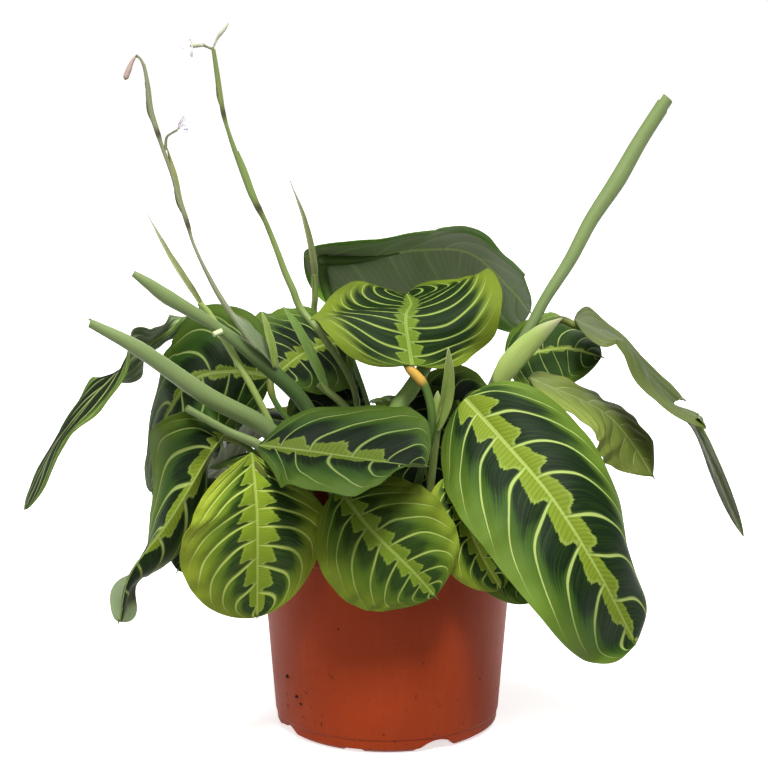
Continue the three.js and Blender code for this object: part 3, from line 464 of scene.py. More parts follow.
def leaf_top(kind):
    """Upper side of a blade: pale veins, a lime centre with toothed lobes, dark blotches between
    the veins. UV "run" is base to tip and across. UV "veins" counts veins and how far out."""
    tints = colours(LEAF_COLOURS[kind])
    finish = Finish("leaf_top_" + kind)
    u, _ = finish.chart("run")
    order, out = finish.chart("veins")
    span, tone_and_painted_light, bold, reach = map(finish.mark, ("span", "tone_and_painted_light", "bold", "reach"))
    place = finish.place()
    cloud = finish.noise(place, 38, 3)
    grain = finish.noise(place, 900, 2)
    streak = finish.noise(finish.vector(order * 26, out * 2.2, tone_and_painted_light * 7), 1.0, 3, 0.6)
    fine = finish.noise(finish.vector(order * 70, out * 5, tone_and_painted_light * 7), 1.0, 2, 0.6)
    part = order.part()
    near = order.off_whole()
    stripe = order.stripes(9)

    # The lime centre has a lobe between each two veins, a toothed edge and a pale rim.
    tooth = ((part * 5.5 + streak * 1.4).part() - 0.5) * 0.026
    lobe = part.ramp((0.0, 0.23), (0.3, 0.28), (0.6, 0.37), (0.68, 0.35), (0.84, 0.17), (1.0, 0.1))
    along = u.ramp((0.0, 0.8), (0.15, 0.6), (0.3, 0.45), (0.6, 0.375), (0.85, 0.3), (1.0, 0.15))
    lobe = lobe * (along * 2) ** finish.mark("taper") * finish.mark("lobes") + tooth
    lobe = lobe + (streak - 0.5) * 0.04 + (cloud - 0.5) * 0.12
    lime = 1 - out.step(lobe - 0.008, lobe + 0.012)
    rim = (1 - ((out - lobe + 0.02) / 0.028).size()).most(0.0) * part.step(0.3, 0.6, 0.1, 0.7)

    # A dark blotch fills the field between two veins out to the reach, and ends in a tongue.
    tongue = part.ramp((0.0, 0.2), (0.25, 0.05), (0.5, 0.0), (0.75, 0.06), (1.0, 0.24))
    far = out + tongue + (streak - 0.5) * 0.3 + (cloud - 0.5) * 0.2
    dark = (1 - lime) * (1 - far.step(reach - 0.1, reach + 0.1)) * u.step(0.05, 0.2)
    dark = dark * (1 - u.step(0.9, 1.0)) * near.step(bold * 0.02, bold * 0.075)

    # The side veins and the midrib narrow outwards and towards the tip.
    width = out.ramp((0.0, 0.028), (0.35, 0.044), (0.8, 0.046), (1.0, 0.026)) * bold
    vein = (1 - near.step(width * 0.55, width * 1.15)) * (1 - out.step(0.8, 0.97))
    vein = vein * out.step(0.0, 0.12, 0.35, 1.0)
    rib_width = u.ramp((0.0, 0.9), (0.5, 0.55), (1.0, 0.25))
    rib = 1 - span.step(rib_width * 0.7, rib_width * 1.5)
    rib_line = 1 - span.step(rib_width * 0.12, rib_width * 0.4)

    field = finish.blend(out.step(0.5, 0.95), tints["field"], tints["edge"])
    field = finish.shift(field, cloud * 0.5 + 0.75 + (fine - 0.5) * 0.35)
    night = finish.blend(streak.step(0.4, 0.8) * 0.35, tints["dark"], tints["field"])
    night = finish.shift(night, fine * 0.5 + 0.75)
    centre = finish.blend(stripe * 0.35, tints["lime"], tints["field"])
    centre = finish.shift(centre, fine * 0.35 + 0.85)
    tint = finish.blend(dark * finish.mark("blotch"), field, night)
    tint = finish.blend(lime, tint, centre)
    tint = finish.blend(rim * 0.5, tint, tints["vein"])
    tint = finish.blend(vein * 0.9, tint, tints["vein"])
    tint = finish.blend(rib * 0.75, tint, tints["vein"])
    tint = finish.blend(rib_line * 0.5, tint, tints["lime"])
    # The leaf's brightness mark: partly its own brightness, random where a leaf gives none, and
    # partly painted light and shade, set leaf by leaf.
    tint = finish.shift(tint, tone_and_painted_light * 0.6 + 0.7, hue=tone_and_painted_light * -0.012 + 0.507)

    relief = finish.bump(1 - vein, "vein")
    relief = finish.bump(stripe * 0.5 + fine * 0.6, "line", relief)
    relief = finish.bump(grain, "pore", relief)
    rough = 0.42 + cloud * 0.12 + lime * 0.06 + vein * 0.08 + grain * 0.08
    return finish.done(Base_Color=tint, Roughness=rough, Normal=relief,
                       Specular_IOR_Level=finish.mark("gloss"))


def leaf_under(kind):
    """Lower side of a blade: dull grey-green with a pale midrib and fine lines along the veins.
    Where the strip mark is 1, its rim is a strong green, and painted light makes all of it
    brighter."""
    tints = colours(LEAF_COLOURS[kind])
    finish = Finish("leaf_under_" + kind, Specular_IOR_Level=0.15)
    order, out = finish.chart("veins")
    span, tone_and_painted_light, green_rim_and_painted_light = map(finish.mark, ("span", "tone_and_painted_light", "green_rim_and_painted_light"))
    place = finish.place()
    cloud = finish.noise(place, 30, 3)
    grain = finish.noise(place, 1100, 2)
    fine = finish.noise(finish.vector(order * 60, out * 4, tone_and_painted_light * 7), 1.0, 3, 0.6)
    stripe = order.stripes(6)
    vein = (1 - order.off_whole().step(0.015, 0.07)) * (1 - out.step(0.75, 1.0))
    rib = 1 - span.step(0.9, 1.9)
    tint = finish.blend(cloud.step(0.4, 0.7) * 0.7, tints["dull"], tints["warm"])
    tint = finish.blend(stripe * 0.22 + fine * 0.2, tint, COLOURS["under_line"])
    tint = finish.blend(vein * 0.4, tint, COLOURS["under_vein"])
    tint = finish.blend(rib * 0.75, tint, COLOURS["under_rib"])
    tint = finish.blend(out.step(0.62, 0.8) * green_rim_and_painted_light, tint, COLOURS["under_rim"])
    # Painted light: the green rim mark brightens the whole underside. The brightness mark is partly
    # the leaf's own and partly painted light and shade.
    tint = finish.shift(tint, tone_and_painted_light * 0.4 + green_rim_and_painted_light * 0.8 + 0.8)
    relief = finish.bump(vein + stripe * 0.2, "vein")
    relief = finish.bump(grain, "pore", relief)
    return finish.done(Base_Color=tint, Roughness=cloud * 0.15 + 0.42, Normal=relief)


def stalk_finish(name, *shades):
    """Smooth juicy stem with fine lines along it, in its light, its deep and its end colour.
    "low" marks a darker lower part, "joint" the orange joint under a blade, and "end" a dry or
    cut end."""
    light, deep, tip = (colour(*shade) for shade in shades)
    finish = Finish(name, Specular_IOR_Level=0.25)
    along, around = finish.chart("run")
    place = finish.place()
    cloud = finish.noise(place, 60, 3)
    line = finish.noise(finish.vector(along * 3, around * 34), 1.0, 3, 0.6)
    tint = finish.blend(line * 0.6 + cloud * 0.5 - 0.15, light, deep)
    tint = finish.blend(finish.mark("low"), tint, COLOURS["low_stalk"])
    tint = finish.blend(finish.mark("joint") * 0.85, tint, COLOURS["joint"])
    tint = finish.blend(finish.mark("end"), tint, tip)
    relief = finish.bump(line, "line")
    relief = finish.bump(finish.noise(place, 1200, 2), "stalk_pore", relief)
    return finish.done(Base_Color=tint, Roughness=cloud * 0.14 + 0.36, Normal=relief)


def petal_finish():
    """Thin white petal, lilac towards its tip, with fine lines along it."""
    finish = Finish("petal", Roughness=0.55, Sheen_Weight=0.2)
    along, around = finish.chart("run")
    line = finish.noise(finish.vector(along * 2, around * 16), 1.0, 2, 0.6)
    lilac = along.step(0.55, 1.0) * 0.7 + line * 0.25
    tint = finish.blend(lilac, COLOURS["petal"], COLOURS["petal_tip"])
    tint = finish.blend(finish.mark("end"), tint, COLOURS["petal_end"])
    return finish.done(Base_Color=tint, Normal=finish.bump(line, "petal_line"))


def pot_finish():
    """Terracotta-coloured moulded plastic, a little dusty, with faint flow lines and scuffs, and
    painted shade that darkens its top band under the leaves.
    """
    finish = Finish("terracotta_plastic", Specular_IOR_Level=0.14)
    place = finish.place()
    height = finish.height()
    cloud = finish.noise(place, 26, 4, 0.6)
    blot = finish.noise(place, 9, 2)
    grain = finish.noise(place, 1500, 2)
    flow = finish.drawn_noise(place, 260, 260, 9, 3, 0.6)
    scuff = finish.drawn_noise(place, 60, 60, 700, 2)
    speck = finish.noise(place, 420, 2, 0.5)
    splash = speck.step(0.64, 0.72) * (1 - height.step(0.01, 0.06))
    dust = splash * 0.6 + speck.step(0.7, 0.76) * 0.4
    tint = finish.blend(cloud * 0.8, COLOURS["clay"], COLOURS["clay_deep"])
    tint = finish.blend(flow.step(0.45, 0.75) * 0.12, tint, COLOURS["clay_flow"])
    tint = finish.blend(scuff.step(0.64, 0.76) * 0.12, tint, COLOURS["clay_scuff"])
    tint = finish.blend(dust, tint, COLOURS["dust"])
    tint = finish.blend(blot.step(0.5, 0.8) * 0.3, tint, COLOURS["clay_blot"])
    # Painted shade: the top band of the pot, under the leaves, is darker.
    tint = finish.blend(height.step(0.082, 0.092) * 0.5, tint, COLOURS["rim_painted_shade"])
    relief = finish.bump(flow, "flow")
    relief = finish.bump(grain, "plastic_grain", relief)
    rough = 0.44 + cloud * 0.14 + scuff.step(0.62, 0.74) * 0.15 + dust * 0.3
    return finish.done(Base_Color=tint, Roughness=rough, Normal=relief)


def soil_finish():
    """Dark peat with pale fibres."""
    finish = Finish("peat", Roughness=0.95, Specular_IOR_Level=0.2)
    place = finish.place()
    clod = finish.noise(place, 160, 4, 0.65)
    fibre = finish.drawn_noise(place, 900, 140, 300, 3)
    tint = finish.blend(clod.step(0.3, 0.7), COLOURS["peat"], COLOURS["peat_light"])
    tint = finish.blend(fibre.step(0.6, 0.8) * 0.5, tint, COLOURS["fibre"])
    relief = finish.bump(clod, "clod")
    relief = finish.bump(fibre, "fibre", relief)
    return finish.done(Base_Color=tint, Normal=relief)


def floor_finish():
    """Matt white paper that glows a little."""
    finish = Finish("paper_floor", Roughness=0.85, Emission_Color=(1, 1, 1, 1),
                    Emission_Strength=0.68)
    place = finish.place()
    tint = finish.blend(finish.noise(place, 2.0, 2), COLOURS["paper"], COLOURS["paper_shade"])
    relief = finish.bump(finish.noise(place, 300, 2), "paper")
    return finish.done(Base_Color=tint, Normal=relief)


# Leaves

# How a blade's pattern shows: how bold its veins are, how wide and how tapered its lime centre
# is, how far out its blotches reach (one number, or one for each half), how dark they are, its
# gloss, and how green its rim is below, which also makes the whole underside brighter as painted
# light.
LOOKS = dict(bold=1.0, lobes=1.0, taper=1.0, reach=0.68, blotch=1.0, gloss=0.1, green_rim_and_painted_light=0.0)
YOUNG_LOOKS = dict(bold=1.25, reach=0.56)

# The rest of what a leaf may say. fold is how steeply each half leaves the midrib, and curl how
# far it bends from there to its edge, in radians, each at base and tip. wave is how high the
# edge waves, waves how often, phase where they start, and fine how strong the small relief is.
# base and tip are how blunt the ends are. seat is where the stalk meets the midrib, stalk its
# radius and orange how orange its joint is. veins is how many side veins a half has and bow how
# they run, limit where the lime centre ends, and tone how bright the leaf is: partly its own
# brightness, random where a leaf gives none, and partly painted light and shade, set leaf by
# leaf, low for leaves in the shade inside the plant and high to lift shaded ones.
BLADE_DEFAULTS = dict(fold=[[0.16, 0.1], [0.16, 0.1]], curl=[[-0.5, -0.4], [-0.5, -0.4]],
                      wave=1.6, waves=2.2, phase=0.0, fine=1.0, base=0.5, tip=0.55, seat=0.02,
                      stalk=STALK_RADIUS, orange=0.12, veins=7, bow=[(0.1, 0.3), (0.1, 0.3)],
                      limit=2.0, tone_and_painted_light=0.5)


def outline(blade, u):
    """Half width of the blade at u, from base to tip, with about 1 at its widest place."""
    return (1 - (1 - u) ** 3) ** blade["base"] * (1 - u ** 3) ** blade["tip"] / 0.87


def from_base(x):
    """How far from base to tip a blade's grid line x lies. The lines close up at both ends."""
    return (1 - math.cos(math.pi * x)) / 2


def facing(rib, faces, u):
    """The way the midrib runs at u and the way the blade faces there, square to it."""
    along = along_line(rib, u)
    face = faces[0].lerp(faces[1], u)
    return along, (face - along * face.dot(along)).normalized()


def vein_order(blade, u, out, hand):
    """Which side vein a point lies on: a whole number on a vein, between veins in between."""
    bow, hook = blade["bow"][hand]
    wander = noise.noise(Vector((u * 5, out * 2.5, blade["phase"] * 3 + hand * 7))) * 0.16
    return blade["veins"] * (u - bow * out - hook * out ** 3.2) + (0.1, 0.47)[hand] + wander


def blade_maker(blade):
    """place(x, y) of a blade, and what its shader and its ribs need to know."""
    rib, faces = points(blade["rib"]), points(blade["face"])
    rows = {}

    def row(x):
        key = round(x, 6)
        if key not in rows:
            u = from_base(x)
            along, face = facing(rib, faces, u)
            half = blade["width"] / 2 * outline(blade, u)
            half *= 1 + 0.018 * noise.noise(Vector((u * 9, blade["phase"], 0)))
            rows[key] = u, on_line(rib, u), along.cross(face), face, half
        return rows[key]

    def place(x, y):
        u, middle, side, face, half = row(x)
        v = 2 * y - 1
        out, hand = abs(v), 0 if v < 0 else 1
        ends = min(1.0, 5 * u * (1 - u))

        # Each half bends in an arc from the midrib to its edge.
        fold = mix(*blade["fold"][hand], u)
        curl = mix(*blade["curl"][hand], u) or 0.001
        across = half * (math.sin(fold + curl * out) - math.sin(fold)) / curl
        lift = half * (math.cos(fold) - math.cos(fold + curl * out)) / curl

        # Long waves and small ripples grow towards the edge.
        turn = FULL_TURN * blade["waves"] * u + blade["phase"] + hand * 1.9
        lift += blade["wave"] * out * out * math.sin(turn) * ends
        ripple = math.sin(turn * 3.3 + 1.7 * blade["phase"]) * 0.55
        ripple += noise.noise(Vector((u * 16, v * 2, blade["phase"] * 5))) * 0.9
        lift += ripple * blade["fine"] * out ** 3 * ends

        # The skin swells between the veins and sinks along the midrib.
        near = off_whole(vein_order(blade, u, out, hand))
        puff = smooth(0, 0.42, near) * smooth(0.02, 0.3, out) * (1 - smooth(0.75, 1, out))
        lift += (0.75 * puff - 0.3) * blade["fine"] * ends
        lift -= 0.45 * blade["fine"] * math.exp(-(half * out / 1.5) ** 2) * ends
        lift += noise.noise(Vector((u * 6, v * 2.2, blade["phase"] * 9))) * 0.7 * ends * out
        return middle + side * (across if v >= 0 else -across) + face * lift

    def span(x, y):
        return row(x)[4] * abs(2 * y - 1)

    def chart(x, y, past):
        u = row(min(max(x, 0.0), 1.0))[0]
        out = abs(2 * y - 1)
        return vein_order(blade, u, out, int(past)), out

    return place, span, chart


def look_marks(blade):
    """The pattern's numbers, kept on every vertex. The lime centre narrows to nothing past the
    blade's limit, counted from base to tip."""
    marks = {name: lambda x, y, value=blade[name]: value for name in (*LOOKS, "tone_and_painted_light")}
    near, far = blade["reach"] if isinstance(blade["reach"], tuple) else [blade["reach"]] * 2
    limit = blade["limit"]

    def lobes(x, y):
        return blade["lobes"] * (1 - smooth(limit - 0.03, limit + 0.06, from_base(x)))

    return {**marks, "lobes": lobes, "reach": lambda x, y: near if y < 0.5 else far}


def add_blade(bm, blade):
    """A blade with its own thickness, a raised midrib under it and its veins a little raised."""
    place, span, chart = blade_maker(blade)
    columns = round(length_of(points(blade["rib"])) / CELL * 1.25)
    rows = 2 * round(blade["width"] / CELL / 2)
    faces = surface(bm, columns, rows, place, TOP_SIDE, charts={"veins": chart},
                    marks={"span": span, **look_marks(blade)})
    spans = bm.verts.layers.float["span"]
    map_run, map_veins = bm.loops.layers.uv["run"], bm.loops.layers.uv["veins"]

    def depth(vert):
        loop = vert.link_loops[0]
        order, out = loop[map_veins].uv
        u = loop[map_run].uv.x
        rib = RIB_DEPTH * (1 - 0.75 * u) * math.exp(-(vert[spans] / 1.3) ** 2)
        vein = 0.16 * (1 - smooth(0, 0.1, off_whole(order))) * (1 - out) * RIB_DEPTH
        return BLADE_THICK * (1 - 0.35 * out) + rib + vein

    thicken(bm, faces, depth, UNDER_SIDE)


def add_petiole(bm, blade):
    """Leaf stalk from the soil up to the blade and on close under its midrib, with the thick
    joint that turns the leaf just below the blade."""
    rib, faces = points(blade["rib"]), points(blade["face"])
    stalk = blade["stalk"]
    x, y = blade["root"]
    line = points([(x, y, STEM_FOOT), (x, y, STEM_RISE), *blade["stem"]])
    base = len(line)
    for step, size in ((0.0, stalk + JOINT_SWELL), (0.1, stalk * 0.7), (0.24, stalk * 0.4)):
        u = blade["seat"] + step
        _, face = facing(rib, faces, u)
        line.append(on_line(rib, u) - face * (size + STALK_CLEARANCE))
    run = lengths_along(line, 80)
    knot = on_list(run, base / (len(line) - 1))

    def behind(t):
        return knot - on_list(run, t)

    def joint(t):
        return smooth(JOINT_START, JOINT_FULL, behind(t)) * smooth(0.0, 3.0, behind(t))

    def radius(t):
        low = 1 + 0.3 * smooth(0.3, 0.0, t)
        after = mix(1.0, 0.25, smooth(0, knot - run[-1], behind(t))) if behind(t) < 0 else 1
        return stalk * low * after + JOINT_SWELL * joint(t)

    marks = {"joint": lambda x, y: joint(x) * blade["orange"]}
    tube(bm, line, radius, LEAF_STALK, STALK_SIDES, STALK_STEP, marks)


def add_point(bm, blade):
    """The short pale point that ends a blade."""
    rib = points(blade["rib"])
    along = along_line(rib, 0.995)
    start = on_line(rib, 0.985)
    down = points(blade["face"])[1].normalized()
    line = [start, start + along * 1.4, start + along * 3.2 - down * 0.5]
    marks = {"end": lambda x, y: smooth(0.6, 1, x) * 0.8}
    tube(bm, line, lambda t: mix(0.55, 0.12, t), LEAF_STALK, 8, 0.7, marks)


def make_leaf(row):
    """A blade, its stalk and its point, as one piece."""
    kind = row["colour"]
    blade = {**BLADE_DEFAULTS, **LOOKS, **(YOUNG_LOOKS if kind == "young" else {}), **row}
    bm = bmesh.new()
    add_blade(bm, blade)
    add_petiole(bm, blade)
    add_point(bm, blade)
    finish_piece(bm, blade["name"] + "_fine", [blade["name"]],
                 [*LEAF_FINISHES[kind], PETIOLE], 60)


def back_leaf(name, bearing, start, reach, rises, width, kind, phase):
    """A leaf on the plant's far side. Its midrib runs outwards from start to reach, at a bearing
    in degrees that turns a little, over the heights in rises."""
    def at(distance, z, turn=0):
        angle = math.radians(bearing + turn)
        return [math.cos(angle) * distance, math.sin(angle) * distance, z]

    step = (reach - start) / 3
    east, north, _ = at(1, 0)
    return dict(name=name, colour=kind, root=at(start - 14, 0)[:2],
                stem=[at(start - 6, rises[0] - 8)],
                rib=[at(start, rises[0]), at(start + step, rises[1], 2),
                     at(start + 2 * step, rises[2], 5), at(reach, rises[3], 9)],
                face=[[east * 0.2, north * 0.2, 1], [east * 0.8, north * 0.8, 0.5]],
                width=width, phase=phase, waves=2.2, tip=0.6)


# Stems, rolled leaves, sheaths and flowers

def add_stem(bm, slot, line, radii, joints=(), round_ends=False):
    """A round stem through the points, with darker swollen rings at joints (places 0 to 1)."""
    def ring(t):
        return max([math.exp(-((t - at) * 45) ** 2) for at in joints] or [0.0])

    def radius(t):
        size = on_list(radii, t) * (1 + 0.22 * ring(t))
        return size * min(1.0, 9 * t + 0.35, 9 * (1 - t) + 0.35) if round_ends else size

    sides = 10 if max(radii) < 1.2 else 16
    step = 0.6 if round_ends else 1.4
    tube(bm, points(line), radius, slot, sides, step, {"end": lambda x, y: ring(x)})


def add_bud(bm, slot, line, radii):
    """A short thick stem with round ends."""
    add_stem(bm, slot, line, radii, round_ends=True)


def add_roll(bm, slot, line, radii, turns, start, twist, slant, inner=0.8, wall=0.34, low=0.0):
    """A leaf or sheath still rolled up round the line: a sheet wound turns times, with a seam.
    start turns the seam, twist winds it along the stem, slant cuts its open end, inner is how
    tight its inmost layer is, wall is its thickness, and low is how much darker its lower part
    is."""
    line = points(line)
    path = frames(line, ROLL_STEPS)
    total = length_of(line)

    def spot(t):
        k = min(int(t * ROLL_STEPS), ROLL_STEPS - 1)
        f = t * ROLL_STEPS - k
        at, side, up = (one.lerp(two, f) for one, two in zip(path[k], path[k + 1]))
        return at, side.normalized(), up.normalized()

    def place(x, y):
        back = abs(slant) * (1 - y if slant > 0 else y) ** 1.4 / total
        t = x * (1 - back) if x > 0.8 else x
        at, side, up = spot(t)
        angle = start + FULL_TURN * turns * y + twist * x
        size = on_list(radii, t) * mix(inner, 1.0, y) * ROLL_SLIMMING
        size *= 1 + 0.03 * noise.noise(Vector((x * 9, y * 5, start)))
        return at + (side * math.cos(angle) + up * math.sin(angle)) * size

    marks = {"end": lambda x, y: 0.25 * smooth(0.985, 1.0, y),
             "low": lambda x, y: low * (1 - smooth(0.42, 0.72, x))}
    faces = surface(bm, *ROLL_GRID, place, slot, marks=marks)
    thicken(bm, faces, lambda vert: wall, slot)


def add_bract(bm, slot, rib, width, face, fold, curl=(0.5, 0.3), end=0.0, base=0.35, tip=0.9):
    """A small pointed blade folded round a stem. end is how dry its tip is."""
    blade = {**BLADE_DEFAULTS, "rib": rib, "face": [face, face], "width": width,
             "fold": [fold, fold], "curl": [curl, curl], "base": base, "tip": tip, "wave": 0.0,
             "fine": 0.12, "veins": 3}
    place, _, _ = blade_maker(blade)
    faces = surface(bm, 32, 16, place, slot,
                    marks={"end": lambda x, y: end * smooth(0.55, 1.0, x)})
    thicken(bm, faces, lambda vert: BRACT_THICK, slot)


def add_petal(bm, slot, rib, width, face):
    """A small flat blade."""
    add_bract(bm, slot, rib, width, face, (0.35, 0.1), (0.6, -0.4), base=0.5, tip=0.5)


# Pot and soil

def revolve(bm, profile, segments, lift):
    """A closed round body from its profile of (radius, height, lifted), from axis to axis. Where
    lifted is 1, no point is lower than lift(bearing in degrees)."""
    last = len(profile) - 1

    def place(x, y):
        radius, z, lifted = profile[round(x * last)]
        angle = FULL_TURN * y
        if lifted:
            z = max(z, lift(y * 360))
        return Vector((radius * math.cos(angle), radius * math.sin(angle), z))

    surface(bm, last, segments, place)


def eased(profile, radius):
    """The profile with each corner rounded by a short arc."""
    made = [profile[0]]
    for before, corner, after in zip(profile, profile[1:], profile[2:]):
        at = Vector(corner[:2])
        one, two = Vector(before[:2]) - at, Vector(after[:2]) - at
        reach = min(radius, one.length * 0.4, two.length * 0.4)
        one, two = at + one.normalized() * reach, at + two.normalized() * reach
        for k in range(5):
            f = k / 4
            dot = one * (1 - f) ** 2 + at * 2 * f * (1 - f) + two * f * f
            made.append((dot.x, dot.y, corner[2]))
    return [*made, profile[-1]]


def pot_radius(z):
    """The pot's outer radius at this height, between its foot and its collar."""
    return mix(POT_LOW_RADIUS, POT_TOP_RADIUS, (z - FOOT_BAND) / (COLLAR_BOTTOM - FOOT_BAND))


def arch_height(bearing):
    """Height of the openings between the feet at this bearing, in degrees."""
    spacing = 360 / ARCH_COUNT
    place = (bearing + 90 - ARCH_TURN) / spacing
    arch = BIG_ARCH if round(place) % 2 else SMALL_ARCH
    off = abs(place - round(place)) * spacing
    if off >= arch["half"]:
        return 0.0
    return arch["height"] * math.cos(off / arch["half"] * math.pi / 2) ** 0.8


def make_pot():
    """One closed wall: pad and floor from below, foot ring, outside, rim and inside."""
    inside = pot_radius(FLOOR_TOP) - POT_WALL
    rim = POT_RIM_RADIUS
    profile = [
        (0, 0, 0), (PAD_RADIUS, 0, 0), (PAD_RADIUS + 1.5, FLOOR_UNDER, 0), (45.1, FLOOR_UNDER, 0),
        (46.2, 0, 1), (POT_FOOT_RADIUS, 0, 1), (52.0, 2.2, 1), (52.3, 6.4, 0),
        (POT_LOW_RADIUS, FOOT_BAND, 0), *[(pot_radius(z), z, 0) for z in (20, 34, 48, 62, 76)],
        (POT_TOP_RADIUS, COLLAR_BOTTOM, 0), (rim - 0.5, COLLAR_BOTTOM + 0.3, 0),
        (rim, COLLAR_BOTTOM + 1.2, 0), (rim, RIM_EDGE, 0), (rim - 0.7, POT_HEIGHT, 0),
        (rim - 1.7, POT_HEIGHT, 0), (rim - 2.2, RIM_EDGE, 0),
        (POT_TOP_RADIUS - POT_WALL, COLLAR_BOTTOM, 0), (inside, FLOOR_TOP, 0), (0, FLOOR_TOP, 0)]
    bm = bmesh.new()
    revolve(bm, eased(profile, POT_ROUNDING), POT_ROUND, arch_height)
    finish_piece(bm, "pot_fine", ["pot"], [pot_finish()], 50)


def soil_height(x, y):
    """Height of the soil's uneven top."""
    bump = math.sin(0.21 * x + 1) * math.cos(0.17 * y + 0.6) + 0.6 * math.sin(0.33 * (x + y))
    rough = noise.noise(Vector((x * 0.3, y * 0.3, 1))) * 1.1 + noise.noise(Vector((x, y, 2))) * 0.6
    return SOIL_TOP + 1.2 * bump + rough


def add_crumb(bm, at, size, squash=0.7):
    """One irregular lump of a few dozen faces."""
    verts = bmesh.ops.create_icosphere(bm, subdivisions=1, radius=1)["verts"]
    seed = Vector((RANDOM.random(), RANDOM.random(), RANDOM.random())) * 50
    stretch = Vector((RANDOM.uniform(0.7, 1.3), RANDOM.uniform(0.7, 1.3), squash))
    for vert in verts:
        bulge = 1 + 0.6 * noise.noise(vert.co * 1.3 + seed)
        vert.co = Vector(at) + Vector([c * s for c, s in zip(vert.co * bulge * size, stretch)])


def make_soil():
    """A low round block with an uneven top, and loose crumbs on it."""
    edge = pot_radius(SOIL_TOP - 3) - POT_WALL - SOIL_GAP
    below = [(edge - 0.4, SOIL_TOP - 3), (edge - 0.9, SOIL_LOW), (0.0, SOIL_LOW)]

    def place(x, y):
        k = round(x * (SOIL_RINGS + len(below)))
        angle = FULL_TURN * y
        if k > SOIL_RINGS:
            radius, z = below[k - SOIL_RINGS - 1]
            return Vector((radius * math.cos(angle), radius * math.sin(angle), z))
        radius = edge * (k / SOIL_RINGS)
        px, py = radius * math.cos(angle), radius * math.sin(angle)
        return Vector((px, py, soil_height(px, py)))

    bm = bmesh.new()
    surface(bm, SOIL_RINGS + len(below), SOIL_ROUND, place)
    for _ in range(SOIL_CRUMBS):
        angle, radius = RANDOM.uniform(0, FULL_TURN), edge * RANDOM.random() ** 0.5 * 0.95
        px, py = radius * math.cos(angle), radius * math.sin(angle)
        size = RANDOM.uniform(0.4, 1.7)
        add_crumb(bm, (px, py, soil_height(px, py) + size * 0.3), size)
    finish_piece(bm, "soil_fine", ["soil"], [SOIL], 60)


# Crumbs on the pot: bearing from the front in radians, height and size in millimetres.
POT_CRUMBS = [(-1.0, 30, 1.1), (-0.88, 22, 1.0), (-0.83, 19, 0.8), (-0.4, 60, 0.5), (0.3, 44, 0.45),
              (0.9, 30, 0.5), (-1.2, 50, 0.4), (2.5, 33, 0.8), (3.3, 20, 0.6)]


def make_crumbs():
    """The few crumbs that stick to the outside of the pot."""
    bm = bmesh.new()
    for bearing, z, size in POT_CRUMBS:
        out = pot_radius(z) + 0.15 * size
        add_crumb(bm, (math.sin(bearing) * out, -math.cos(bearing) * out, z), size, 0.8)
    finish_piece(bm, "crumbs_on_pot", [], [SOIL], 60)


